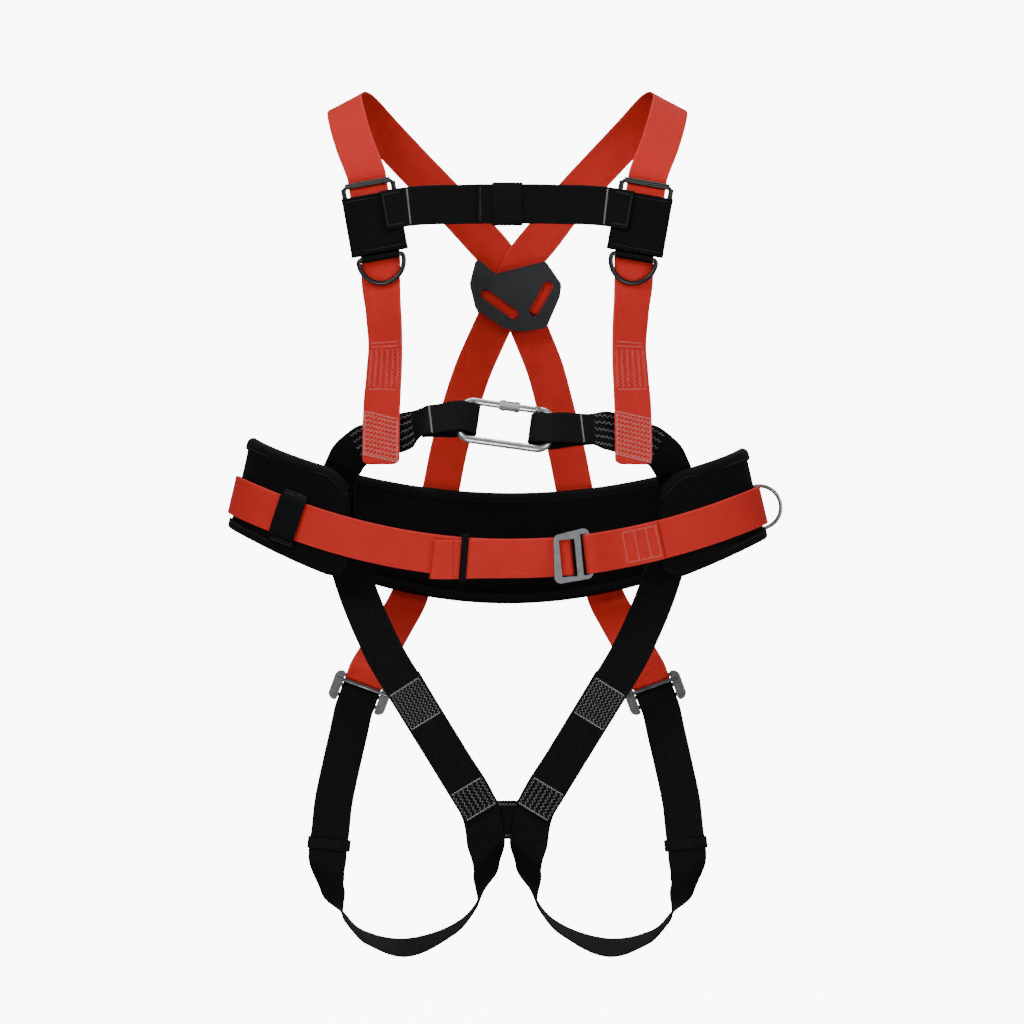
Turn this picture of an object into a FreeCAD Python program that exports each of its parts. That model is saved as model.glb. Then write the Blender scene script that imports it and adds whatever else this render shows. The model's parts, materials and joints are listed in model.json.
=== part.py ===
import FreeCAD, Part
import os
from math import acos, cos, degrees, pi, radians, sin

# Full-body safety harness with a padded work-positioning belt.
# Millimetres. X runs across the body, +Y towards the wearer's back, +Z up.
# The origin is on the hinge line of the dorsal D-ring, in the harness's centre plane.
# "left" is the -X side, which is the left side seen from the front.

Vec = FreeCAD.Vector

# ---- webbing -------------------------------------------------------------
WEB_WIDTH = 44.0
WEB_THICK = 2.5
LAYER_STEP = 2.9            # centre to centre of two webbing layers that lie together
ROUTE_STEPS = 5             # loft sections between two route stations

# ---- dorsal plate and ring ------------------------------------------------
PLATE_FRONT_Y = -11.0
PLATE_THICK = 5.0
DORSAL_X = 4.0              # the plate sits a little askew on the crossing straps
DORSAL_WIRE = 4.0           # radius
DORSAL_HALF_WIDTH = 39.0
DORSAL_DEPTH = 58.0
DORSAL_LEAN = 35.0          # degrees out from the back, where it rests on the straps
EAR_OFFSET = 30.0
EAR_THICK = 5.0
LINING_THICK = 1.1
LINING_Y = -5.2
LINING_OUTLINE = [(-34, 5), (48, 7), (55.5, -1), (52.5, -20), (42, -40), (-8, -41), (-33, -25)]
SLOT_HALF_WIDTH = 6.0
PLATE_SLOTS = [((-26, -9.7), (7.5, -33.8)), ((48, -0.5), (31.5, -30))]
RUNNING_GAP = 0.05

# ---- chest adjuster, sleeve and ring --------------------------------------
ADJUSTER_AT = Vec(-153, -222, 82)
ADJUSTER_LEAN = 10.0
ADJUSTER_HALF_WIDTH = 27.4
ADJUSTER_BAR = 2.3          # radius
ADJUSTER_PITCH = 18.0       # bar to bar
ADJUSTER_RIB = 2.0          # the rib that thickens the frame above the sleeve
SLEEVE_TOP = 6.0
SLEEVE_BOTTOM = -59.8
SLEEVE_HALF_WIDTH = 32.4
SLEEVE_BACK = -10.8
SLEEVE_FRONT = 8.0
SLEEVE_WALL = 2.2
CHEST_RING_DROP = -64.5     # below the adjuster's centre, along the strap
CHEST_RING_PROUD = 3.0
CHEST_RING_WIRE = 2.7
CHEST_RING_HALF_WIDTH = 25.4
CHEST_RING_DEPTH = 29.6

# ---- carabiner ------------------------------------------------------------
CARABINER_AT = Vec(-2, -238, -170)
CARABINER_ROLL = 8.0        # the right end hangs lower
CARABINER_TILT = 30.0       # the spine comes forward
CARABINER_HALF_LENGTH = 50.0
CARABINER_HALF_WIDTH = 25.0
CARABINER_CORNER = 13.0
CARABINER_BAR = 4.2
GATE_BAR = 3.9
GATE_TIP = -26.5
GATE_PIVOT = 31.0
GATE_PIN = 1.5
SLEEVE_NUT_BORE = 4.05
SLEEVE_NUT_OUTER = 6.3
SLEEVE_NUT_FROM = -10.0
SLEEVE_NUT_TO = 13.0
EYE_BEND = 0.24
EYE_WIDTH = 38.0            # the webbing bunches a little where it passes the carabiner

# ---- waist belt and pad ---------------------------------------------------
WAIST_X = -11.0             # the closed belt sits a little to one side
WAIST_Y = -115.0
WAIST_A = 300.0             # half width of the pad's outer face
WAIST_B = 125.0             # half depth of the pad's outer face
WAIST_TILT = 0.02           # the right side hangs a little lower
FLARE = 13.0                # degrees, the sides lean in at the top
PAD_THICK = 14.0
PAD_SIDE_Z = -240.0
PAD_SAG = 70.0              # front and back hang lower than the sides
BELT_LOW = -13.0            # belt's middle line below the pad's at the sides
BELT_RISE = 4.0
PAD_HALF_HEIGHT = 54.0
PAD_EXTRA_HEIGHT = 12.0
PAD_FROM = -53.0            # degrees round the waist, 90 is the middle of the back
PAD_TO = 237.0
PAD_STEP = 5.8
COVER_WALL = 1.2
BELT_GAP = 1.8              # belt centre line from the pad's face
BELT_OVER_STRAPS = 4.6      # more room at the back, where the back straps pass inside

# ---- belt buckle ----------------------------------------------------------
BUCKLE_X = 69.0
BUCKLE_BAR_OUT = 5.95       # friction bar's centre from the pad's face
BUCKLE_BAR = 2.6
BUCKLE_FRAME_OUT = 14.1
BUCKLE_FRAME_THICK = 4.0
BUCKLE_HALF_WIDTH = 23.0
BUCKLE_HALF_HEIGHT = 28.0
BUCKLE_DROP = -5.0

# ---- side rings -----------------------------------------------------------
SIDE_RING_ANGLE = 22.0
SIDE_RING_WIRE = 2.3
SIDE_RING_HALF_WIDTH = 25.0
SIDE_RING_DEPTH = 45.0
SIDE_RING_OUT = 8.0
SIDE_LOOP_HEIGHT = 38.0

# ---- thigh buckles and keepers --------------------------------------------
THIGH_BUCKLE_AT = Vec(-169, -112, -473)
THIGH_BUCKLE_LEAN = 20.0
THIGH_BUCKLE_HALF_WIDTH = 29.5
THIGH_BUCKLE_PITCH = 12.0
THIGH_BUCKLE_BAR = 2.3
THIGH_CHEEK_BELOW = 19.0
THIGH_CHEEK_ABOVE = 15.5
THIGH_CHEEK_FRONT = 8.2
THIGH_CHEEK_BACK = -2.8
THIGH_RAIL = 2.3
THIGH_RAIL_UP = 6.0
THIGH_RAIL_OUT = 6.9
BAR_WRAP = 3.85             # webbing centre line round a buckle bar
KEEPER_WALL = 1.6

# ---- routes of the webbing, left-hand pieces ------------------------------
# Each station is x, y, z and then the direction across the webbing.
OVER_SHOULDER = [
    (-171.9, -190, 147, 0.96, 0.0, 0.27),
    (-183.0, -152, 183, 0.93, 0.0, 0.36),
    (-186.5, -105, 205, 0.885, 0.0, 0.465),
    (-172.0, -60, 203, 0.78, 0.0, 0.62),
    (-143.9, -30, 175, 0.71, 0.0, 0.70),
    (-109.0, -16, 139, 0.71, 0.0, 0.70),
]
# The strap from the left shoulder lies outside; the other one passes inside it.
BACK_CROSSING = {
    "left": [
        (-74.3, -5.0, 104, 0.71, 0.0, 0.70),
        (-33.0, 7.6, 60, 0.75, 0.0, 0.66),
        (-10.5, 8.9, 33, 0.84, 0.0, 0.54),
        (4.0, 8.9, 0, 0.91, 0.0, 0.42),
        (18.0, 8.9, -32, 0.92, 0.0, 0.39),
        (29.0, 8.4, -58, 0.92, 0.0, 0.38),
        (45.0, 6.5, -99, 0.94, 0.0, 0.34),
        (57.5, 5.0, -146, 0.97, 0.0, 0.25),
    ],
    "right": [
        (76.3, -7.0, 104, -0.71, 0.0, 0.70),
        (42.0, 4.5, 60, -0.76, 0.0, 0.65),
        (20.5, 5.7, 33, -0.84, 0.0, 0.54),
        (4.0, 5.7, 0, -0.91, 0.0, 0.42),
        (-11.0, 5.7, -32, -0.92, 0.0, 0.39),
        (-23.0, 5.4, -58, -0.92, 0.0, 0.38),
        (-41.0, 5.0, -99, -0.94, 0.0, 0.34),
        (-56.5, 5.0, -146, -0.97, 0.0, 0.25),
    ],
}
# x and z where a back strap lies on the pad, and how far it leans.
ON_PAD = [(69.4, -194, 3.8, 13), (79.0, -241, 2.3, 13), (88.0, -278, 2.25, 14),
          (98.0, -312, 2.25, 16), (110.0, -348, 2.4, 19)]
UNDER_SEAT = [
    (117.5, 2.6, -370, 0.93, -0.10, 0.36),
    (129.0, -20, -392, 0.93, -0.05, 0.36),
    (139.8, -55, -412, 0.93, 0.0, 0.36),
    (149.8, -87, -430, 0.94, 0.0, 0.34),
]
CHEST_ROUTE = [
    (-141.6, -219, -8, 0.99, -0.1, 0.02),
    (-138.5, -221, -44, 0.92, -0.38, 0.0),
    (-136.5, -222.5, -80, 0.88, -0.47, 0.0),
    (-138.0, -225.0, -115, 0.92, -0.38, 0.0),
    (-140.0, -228.3, -145, 0.95, -0.30, 0.0),
    (-141.0, -229.9, -178, 0.96, -0.28, 0.0),
    (-141.0, -230.3, -214, 0.96, -0.28, 0.0),
]
HIP_ROUTE = [
    (-112.0, -229.5, -176, 0.12, 0.15, 0.98),
    (-140.0, -223.6, -184, 0.2, 0.08, 0.98),
    (-163.0, -208, -192, -0.38, 0.12, 0.91),
    (-181.0, -191, -208, -0.74, 0.14, 0.65),
    (-192.0, -178, -235, -0.95, 0.25, 0.14),
    (-191.5, -172, -276, -0.97, 0.24, -0.06),
    (-180.2, -171, -325, -0.96, 0.15, -0.24),
    (-164.0, -174, -372, -0.93, 0.05, -0.36),
    (-138.4, -177, -428, -0.87, 0.0, -0.50),
    (-106.9, -174, -480, -0.85, 0.0, -0.52),
    (-65.1, -166, -548.6, -0.85, 0.0, -0.52),
    (-28.0, -158, -610, -0.86, 0.0, -0.51),
]
LEG_ROUTE = [
    (-119.5, -171.6, -458, 0.85, 0.0, 0.52),
    (-106.5, -170.9, -480, 0.85, 0.0, 0.52),
    (-65.0, -162.8, -548.6, 0.85, 0.0, 0.52),
    (-33.5, -155.6, -601.5, 0.88, 0.0, 0.45),
    (-24.5, -148, -643, 0.99, 0.08, 0.08),
    (-24.0, -140, -676, 0.62, 0.78, -0.05),
    (-33.0, -128, -713, 0.0, 1.0, 0.0),
    (-58.0, -119, -744, 0.1, 0.97, 0.22),
    (-114.0, -112, -768, 0.0, 0.93, 0.36),
    (-162.0, -110, -757, -0.15, 0.95, 0.24),
    (-186.0, -110, -735, 0.0, 1.0, 0.0),
    (-201.0, -111, -703, -0.66, 0.74, -0.1),
    (-207.0, -112, -664, -0.99, 0.0, 0.11),
    (-203.5, -112, -632, -0.99, 0.0, 0.11),
    (-200.0, -112, -600, -0.99, 0.0, 0.11),
    (-191.0, -112, -557, -0.97, 0.0, 0.22),
    (-182.5, -113.2, -520, -0.95, 0.0, 0.28),
]
LEG_TAIL_ROUTE = [
    (-182.5, -109.2, -520, -0.95, 0.0, 0.28),
    (-191.0, -109.0, -557, -0.97, 0.0, 0.22),
    (-200.0, -109.1, -600, -0.99, 0.0, 0.11),
    (-203.5, -109.1, -632, -0.99, 0.0, 0.11),
    (-207.0, -109.1, -664, -0.99, 0.0, 0.11),
    (-203.4, -107.6, -694, -0.74, 0.66, -0.05),
]


# ---- small geometry helpers ------------------------------------------------
def unit(vector):
    return Vec(vector).normalize()


def mirrored(route):
    return [(-x, y, z, -cx, cy, cz) for x, y, z, cx, cy, cz in route]


def widened(route, width):
    """Add a width to each station of a route."""
    return [tuple(station[:6]) + (width,) for station in route]


def hermite(before, start, end, after, t):
    """Smooth value between start and end, for chord-spaced vectors."""
    span = max((end - start).Length, 1e-6)
    lead = (start - before).Length
    trail = (after - end).Length
    slope_in = (end - before) * (span / max(lead + span, 1e-6))
    slope_out = (after - start) * (span / max(span + trail, 1e-6))
    t2 = t * t
    t3 = t2 * t
    return (start * (2 * t3 - 3 * t2 + 1) + slope_in * (t3 - 2 * t2 + t)
            + end * (3 * t2 - 2 * t3) + slope_out * (t3 - t2))


def smooth_stations(route, steps):
    """Points and cross directions along a smooth line through the route's stations."""
    spots = [Vec(*station[:3]) for station in route]
    crosses = [unit(Vec(*station[3:6])) * station[6] for station in route]
    last = len(route) - 1
    found = []
    for i in range(last):
        before = spots[i - 1] if i else spots[0] * 2 - spots[1]
        after = spots[i + 2] if i + 2 <= last else spots[last] * 2 - spots[last - 1]
        for k in range(steps):
            t = k / steps
            ease = t * t * (3 - 2 * t)
            point = hermite(before, spots[i], spots[i + 1], after, t)
            found.append((point, crosses[i] * (1 - ease) + crosses[i + 1] * ease))
    found.append((spots[last], crosses[last]))
    return found


def ribbon(route, width=WEB_WIDTH, thick=WEB_THICK, steps=ROUTE_STEPS):
    """Flat webbing of rectangular section lofted along a route."""
    stations = smooth_stations([tuple(station) + (width,) if len(station) == 6 else station
                                for station in route], steps)
    last = len(stations) - 1
    sections = []
    for i, (point, cross) in enumerate(stations):
        along = unit(stations[min(i + 1, last)][0] - stations[max(i - 1, 0)][0])
        side = unit(cross - along * cross.dot(along))
        face = along.cross(side)
        half_side = side * (cross.Length / 2)
        half_face = face * (thick / 2)
        corners = [point + half_side + half_face, point - half_side + half_face,
                   point - half_side - half_face, point + half_side - half_face]
        sections.append(Part.makePolygon(corners + corners[:1]))
    return Part.makeLoft(sections, True, True)


def placed(shape, at, x_dir, y_dir):
    """Move a shape from its own axes to a place with the given x and y directions."""
    x_axis = unit(x_dir)
    z_axis = unit(x_axis.cross(y_dir))
    y_axis = z_axis.cross(x_axis)
    matrix = FreeCAD.Matrix(x_axis.x, y_axis.x, z_axis.x, at.x,
                            x_axis.y, y_axis.y, z_axis.y, at.y,
                            x_axis.z, y_axis.z, z_axis.z, at.z,
                            0, 0, 0, 1)
    moved = shape.copy()
    moved.Placement = FreeCAD.Placement(matrix).multiply(moved.Placement)
    return moved


def block(x0, x1, y0, y1, z0, z1):
    return Part.makeBox(x1 - x0, y1 - y0, z1 - z0, Vec(x0, y0, z0))


def rod(start, end, radius):
    return Part.makeCylinder(radius, (end - start).Length, start, end - start)


def rounded_path(points, radii, closed):
    """Wire of straight runs joined by tangent arcs, one radius for each corner."""
    count = len(points)
    edges = []
    joints = []
    for i, point in enumerate(points):
        if not closed and i in (0, count - 1):
            joints.append((point, point, None))
            continue
        back = unit(points[i - 1] - point)
        ahead = unit(points[(i + 1) % count] - point)
        half = acos(max(-1, min(1, back.dot(ahead)))) / 2
        trim = radii[i] * cos(half) / sin(half)
        middle = point + unit(back + ahead) * (radii[i] / sin(half) - radii[i])
        joints.append((point + back * trim, point + ahead * trim, middle))
    for i in range(count):
        enter, leave, middle = joints[i]
        if middle is not None:
            edges.append(Part.Arc(enter, middle, leave).toShape())
        if i + 1 < count or closed:
            following = joints[(i + 1) % count][0]
            if (following - leave).Length > 1e-6:
                edges.append(Part.LineSegment(leave, following).toShape())
    return Part.Wire(edges)


def wire_shape(points, radii, wire_radius, closed=True):
    """Round bar bent along a rounded path that starts on a straight run."""
    path = rounded_path(points, radii, closed)
    start = path.Edges[0]
    line = next(edge for edge in path.Edges if isinstance(edge.Curve, Part.Line))
    if closed:
        at = line.valueAt((line.FirstParameter + line.LastParameter) / 2)
        direction = line.tangentAt(line.FirstParameter)
    else:
        at = start.valueAt(start.FirstParameter)
        direction = start.tangentAt(start.FirstParameter)
    section = Part.Wire(Part.makeCircle(wire_radius, at, direction))
    return path.makePipeShell([section], True, False)


def d_ring(half_width, depth, wire_radius, corner):
    """Ring in its own XY plane: straight bar on the X axis, bow towards -Y."""
    parts = [rod(Vec(corner - half_width, 0, 0), Vec(half_width - corner, 0, 0), wire_radius)]
    bow_centre = half_width - depth
    for side in (-1, 1):
        x = side * half_width
        parts.append(quarter_bend(Vec(x - side * corner, -corner, 0), corner, wire_radius,
                                  0 if side > 0 else 90))
        parts.append(rod(Vec(x, -corner, 0), Vec(x, bow_centre, 0), wire_radius))
    bow = Part.makeTorus(half_width, wire_radius, Vec(0, bow_centre, 0), Vec(0, 0, 1),
                         0, 360, 180)
    bow.rotate(Vec(0, bow_centre, 0), Vec(0, 0, 1), 180)
    parts.append(bow)
    return parts[0].multiFuse(parts[1:]).removeSplitter()


def quarter_bend(centre, bend, wire_radius, start_angle):
    bend_piece = Part.makeTorus(bend, wire_radius, centre, Vec(0, 0, 1), 0, 360, 90)
    bend_piece.rotate(centre, Vec(0, 0, 1), start_angle)
    return bend_piece


def three_bar_frame(half_width, pitch, bar_radius):
    """Buckle or adjuster frame in its own XY plane, with bars at -pitch, 0 and +pitch."""
    outline = [Vec(-half_width, -pitch, 0), Vec(half_width, -pitch, 0),
               Vec(half_width, pitch, 0), Vec(-half_width, pitch, 0)]
    corner = bar_radius * 1.6
    rim = wire_shape(outline, [corner] * 4, bar_radius)
    bar = rod(Vec(-half_width, 0, 0), Vec(half_width, 0, 0), bar_radius)
    return rim.fuse(bar)


def band(half_width, half_depth, height, wall):
    """Rectangular band round webbing, with its opening along its own Y axis."""
    outer = block(-half_width - wall, half_width + wall, -height / 2, height / 2,
                  -half_depth - wall, half_depth + wall)
    inner = block(-half_width, half_width, -height, height, -half_depth, half_depth)
    return outer.cut(inner)


def at_side(shape, side):
    """The left-hand piece, or its mirror image for the right-hand side."""
    if side == "left":
        return shape
    return shape.mirror(Vec(0, 0, 0), Vec(1, 0, 0))


# ---- the chest adjuster's own axes -----------------------------------------
LEAN = radians(ADJUSTER_LEAN)
CHEST_ACROSS = Vec(cos(LEAN), 0, sin(LEAN))
CHEST_UP = Vec(-sin(LEAN), 0, cos(LEAN))
FORWARD = Vec(0, -1, 0)


def chest_station(height, proud):
    at = ADJUSTER_AT + CHEST_UP * height + FORWARD * proud
    return (at.x, at.y, at.z, CHEST_ACROSS.x, 0, CHEST_ACROSS.z)


def chest_placed(shape):
    return placed(shape, ADJUSTER_AT, CHEST_ACROSS, CHEST_UP)


def shoulder_strap(side):
    """From the chest adjuster over the shoulder, across the back to the opposite thigh."""
    weave = [chest_station(-40, -7.2), chest_station(-28, -7.2),
             chest_station(-ADJUSTER_PITCH, -7.0), chest_station(-12.5, -5.4),
             chest_station(-8, -1.4), chest_station(-4, 2.6),
             chest_station(0, 4.0), chest_station(9, 0.0),
             chest_station(ADJUSTER_PITCH, -4.0), chest_station(30, -4.6)]
    bar = THIGH_BUCKLE_PITCH
    diagonal = BAR_WRAP * 0.71
    buckle = [far_thigh_station(height, proud) for height, proud in
              ((26, 3.2), (bar, BAR_WRAP), (bar - diagonal, diagonal),
               (bar - BAR_WRAP, 0), (bar - diagonal, -diagonal), (bar, -BAR_WRAP),
               (26, -1.4))]
    upper = weave + OVER_SHOULDER
    lower = UNDER_SEAT + buckle
    if side == "right":
        upper = mirrored(upper)
        lower = mirrored(lower)
    sign = 1 if side == "left" else -1
    on_pad = [pad_back_station(sign * x, z, out, sign * lean) for x, z, out, lean in ON_PAD]
    return ribbon(upper + BACK_CROSSING[side] + on_pad + lower)


def pad_back_station(x, z, out_by, lean):
    """Where a back strap lies on the outer face of the pad."""
    angle = degrees(acos((x - WAIST_X) / WAIST_A))
    out, up = waist_axes(angle)
    level = waist_point(angle, out_by, 0)
    at = level + up * ((z - level.z) / up.z)
    across = up.cross(out)
    if across.x * lean < 0:
        across = across * -1
    cross = across * cos(radians(abs(lean))) + up * sin(radians(abs(lean)))
    return (at.x, at.y, at.z, cross.x, cross.y, cross.z)


def chest_webbing(side):
    """Sewn round the adjuster's lowest bar, down to the hip strap."""
    bar = -ADJUSTER_PITCH
    loop = [chest_station(-32, -3.9), chest_station(-26, -3.9), chest_station(bar, -3.9),
            chest_station(bar + 2.75, -2.75), chest_station(bar + 3.9, 0),
            chest_station(bar + 2.75, 2.75), chest_station(bar, 3.9),
            chest_station(-27, 1.4), chest_station(-34, -0.6), chest_station(-44, -2.6),
            chest_station(-52, -3.0), chest_station(CHEST_RING_DROP, -3.0)]
    route = loop + CHEST_ROUTE
    return ribbon(route if side == "left" else mirrored(route))


def chest_adjuster(side):
    frame = three_bar_frame(ADJUSTER_HALF_WIDTH, ADJUSTER_PITCH, ADJUSTER_BAR)
    top = ADJUSTER_PITCH + ADJUSTER_RIB
    wide = ADJUSTER_HALF_WIDTH + ADJUSTER_RIB * 0.6
    frame = frame.fuse(rod(Vec(-wide + 3, top, 0), Vec(wide - 3, top, 0), ADJUSTER_BAR))
    for x in (-wide, wide):
        frame = frame.fuse(rod(Vec(x, SLEEVE_TOP + 0.6, 0), Vec(x, top - 3, 0), ADJUSTER_BAR))
    return at_side(chest_placed(frame), side)


def chest_sleeve(side):
    outer = block(-SLEEVE_HALF_WIDTH, SLEEVE_HALF_WIDTH, SLEEVE_BOTTOM, SLEEVE_TOP,
                  SLEEVE_BACK, SLEEVE_FRONT)
    outer = outer.makeFillet(2.0, [edge for edge in outer.Edges
                                   if abs(edge.tangentAt(0).y) > 0.99])
    inner = block(-SLEEVE_HALF_WIDTH + SLEEVE_WALL, SLEEVE_HALF_WIDTH - SLEEVE_WALL,
                  SLEEVE_BOTTOM - 1, SLEEVE_TOP + 1,
                  SLEEVE_BACK + SLEEVE_WALL, SLEEVE_FRONT - SLEEVE_WALL)
    return at_side(chest_placed(outer.cut(inner)), side)


def chest_ring_axis():
    return ADJUSTER_AT + CHEST_UP * CHEST_RING_DROP + FORWARD * CHEST_RING_PROUD


def chest_ring(side):
    ring = d_ring(CHEST_RING_HALF_WIDTH, CHEST_RING_DEPTH, CHEST_RING_WIRE, 4.0)
    return at_side(placed(ring, chest_ring_axis(), CHEST_ACROSS, CHEST_UP), side)


def chest_ring_loop(side):
    """Webbing eye that holds the ring's bar, with a tongue up into the sleeve."""
    bore = CHEST_RING_WIRE + RUNNING_GAP
    half = CHEST_RING_HALF_WIDTH - 6.5
    outer = rod(Vec(-half, 0, 0), Vec(half, 0, 0), bore + 1.5)
    tongue = block(-half, half, 0, 12, -bore - 1.5, -bore)
    shape = outer.fuse(tongue).cut(rod(Vec(-half - 1, 0, 0), Vec(half + 1, 0, 0), bore))
    return at_side(placed(shape, chest_ring_axis(), CHEST_ACROSS, CHEST_UP), side)


# ---- chest strap ------------------------------------------------------------
CHEST_STRAP_Z = 76.8
CHEST_STRAP_Y = -232.0
CHEST_KEEPER_HALF = 17.0


def chest_strap(side):
    """One half of the chest strap; the right half lies in front of the left."""
    front = LAYER_STEP + 0.1 if side == "right" else 0.0
    level = FORWARD * (SLEEVE_FRONT + 1.7)
    start = ADJUSTER_AT + CHEST_ACROSS * 12 - CHEST_UP * 15 + level
    seam = ADJUSTER_AT + CHEST_ACROSS * (SLEEVE_HALF_WIDTH + 2) - CHEST_UP * 15 + level
    route = [(start.x, start.y, start.z, CHEST_UP.x, 0, CHEST_UP.z),
             (seam.x, seam.y, seam.z, CHEST_UP.x, 0, CHEST_UP.z),
             (-92, CHEST_STRAP_Y, 75.5, -0.03, 0, 1),
             (-62, CHEST_STRAP_Y - front * 0.5, 76.2, 0.0, 0, 1),
             (-34, CHEST_STRAP_Y - front, CHEST_STRAP_Z, 0, 0, 1),
             (0, CHEST_STRAP_Y - front, CHEST_STRAP_Z, 0, 0, 1),
             (34, CHEST_STRAP_Y - front, CHEST_STRAP_Z, 0, 0, 1)]
    return ribbon(route if side == "left" else mirrored(route))


def chest_keeper():
    shape = band(WEB_WIDTH / 2 + 0.5, LAYER_STEP + 0.1, 2 * CHEST_KEEPER_HALF, KEEPER_WALL)
    middle = Vec(0, CHEST_STRAP_Y - LAYER_STEP / 2 - 0.05, CHEST_STRAP_Z)
    return placed(shape, middle, Vec(0, 0, 1), Vec(1, 0, 0))


# ---- dorsal plate and ring --------------------------------------------------
def dorsal_plate():
    """Moulded shield with two webbing slots and two ears for the ring's bar."""
    outline = [Vec(-37, 0, 33), Vec(-45, 0, 2), Vec(-38, 0, -27), Vec(-4, 0, -50),
               Vec(15, 0, -54), Vec(46, 0, -50), Vec(62, 0, -13), Vec(64, 0, 2),
               Vec(45, 0, 29), Vec(-14, 0, 14)]
    corners = [4, 14, 8, 8, 10, 8, 8, 10, 5, 6]
    plate = Part.Face(rounded_path(outline, corners, True)).extrude(Vec(0, PLATE_THICK, 0))
    plate.translate(Vec(0, PLATE_FRONT_Y, 0))
    for start, end in PLATE_SLOTS:
        plate = plate.cut(round_slot(Vec(start[0], 0, start[1]), Vec(end[0], 0, end[1]),
                                     SLOT_HALF_WIDTH))
    for side in (-1, 1):
        centre_x = DORSAL_X + side * EAR_OFFSET
        start = Vec(centre_x - EAR_THICK / 2, 0, 0)
        end = Vec(centre_x + EAR_THICK / 2, 0, 0)
        ear = rod(start, end, 7.5)
        foot = block(start.x, end.x, PLATE_FRONT_Y + 1, 0, -4.9, 7.5)
        plate = plate.fuse(ear.fuse(foot))
    span = rod(Vec(DORSAL_X - 40, 0, 0), Vec(DORSAL_X + 40, 0, 0), DORSAL_WIRE + RUNNING_GAP)
    return plate.cut(span).removeSplitter()


def dorsal_plate_lining():
    """Thin webbing behind the plate, seen through both slots; the ears pass through it."""
    outline = [Vec(x, LINING_Y - LINING_THICK / 2, z) for x, z in LINING_OUTLINE]
    strip = Part.Face(Part.makePolygon(outline + outline[:1]))
    strip = strip.extrude(Vec(0, LINING_THICK, 0))
    for side in (-1, 1):
        centre_x = DORSAL_X + side * EAR_OFFSET
        strip = strip.cut(block(centre_x - EAR_THICK / 2 - 0.3, centre_x + EAR_THICK / 2 + 0.3,
                                PLATE_FRONT_Y, 8, -6.3, 40))
    return strip


def round_slot(start, end, half_width):
    """Cutter through the plate from one end of a slot to the other."""
    along = unit(end - start)
    side = Vec(-along.z, 0, along.x) * half_width
    deep = Vec(0, 40, 0)
    bar = Part.Face(Part.makePolygon([start + side, end + side, end - side, start - side,
                                      start + side])).extrude(deep)
    bar.translate(Vec(0, -30, 0))
    caps = [Part.makeCylinder(half_width, 40, Vec(at.x, -30, at.z), Vec(0, 1, 0))
            for at in (start, end)]
    return bar.multiFuse(caps)


def dorsal_ring():
    ring = d_ring(DORSAL_HALF_WIDTH, DORSAL_DEPTH, DORSAL_WIRE, 5.8)
    lean = radians(DORSAL_LEAN)
    return placed(ring, Vec(DORSAL_X, 0, 0), Vec(1, 0, 0), Vec(0, -sin(lean), cos(lean)))


# ---- the carabiner's own axes -------------------------------------------------
ROLL = radians(CARABINER_ROLL)
TILT = radians(CARABINER_TILT)
CARABINER_ALONG = Vec(cos(ROLL), 0, -sin(ROLL))
CARABINER_UP = Vec(sin(ROLL) * cos(TILT), sin(TILT), cos(ROLL) * cos(TILT))
CARABINER_FACE = CARABINER_ALONG.cross(CARABINER_UP)


def on_carabiner(x, up=0.0, face=0.0):
    return CARABINER_AT + CARABINER_ALONG * x + CARABINER_UP * up + CARABINER_FACE * face


def eye_station(x, face):
    """Beyond the carabiner's bar the webbing bends towards the hips."""
    beyond = max(0, abs(x) - CARABINER_HALF_LENGTH)
    at = on_carabiner(x, EYE_BEND * beyond * (1 if x > 0 else -1), face)
    return (at.x, at.y, at.z, CARABINER_UP.x, CARABINER_UP.y, CARABINER_UP.z)


def hip_strap(side):
    """Eye on the carabiner, round the hip inside the pad, down to the crotch."""
    sign = -1 if side == "left" else 1
    bar = CARABINER_HALF_LENGTH
    fold = 31.5 if side == "left" else 28.0
    profile = [(94, -3.4), (86, -3.5), (76, -4.6), (62, -7.0), (bar, -7.6), (fold + 7, -5.4),
               (fold + 1.6, -2.4), (fold, 0), (fold + 1.6, 2.4), (fold + 7, 5.4),
               (bar, 7.6), (62, 7.0), (76, 3.6), (90, 0.6)]
    eye = [eye_station(sign * x, face) for x, face in profile]
    route = HIP_ROUTE if side == "left" else mirrored(HIP_ROUTE)
    return ribbon(widened(eye, EYE_WIDTH) + widened(route, WEB_WIDTH))


def carabiner_body():
    """Bent steel bar, open on its upper side between the nose and the gate's hinge."""
    x, up, corner = CARABINER_HALF_LENGTH, CARABINER_HALF_WIDTH, CARABINER_CORNER
    points = [Vec(GATE_TIP - 0.7, up, 0), Vec(-x, up, 0), Vec(-x, -up, 0),
              Vec(x, -up, 0), Vec(x, up, 0), Vec(GATE_PIVOT + 5.3, up, 0)]
    bar = wire_shape(points, [0, corner, corner, corner, corner, 0], CARABINER_BAR, False)
    nose = block(GATE_TIP - 3, GATE_TIP + 5, up - 3, up + 3, -1.5, 1.5)
    tongue = block(GATE_PIVOT, GATE_PIVOT + 7, up - 3.2, up + 3.2, -2, 2)
    knuckle = Part.makeCylinder(3.2, 4, Vec(GATE_PIVOT, up, -2))
    bore = Part.makeCylinder(GATE_PIN + RUNNING_GAP, 12, Vec(GATE_PIVOT, up, -6))
    shape = bar.multiFuse([nose, tongue, knuckle]).cut(bore)
    return placed(shape, CARABINER_AT, CARABINER_ALONG, CARABINER_UP)


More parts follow.
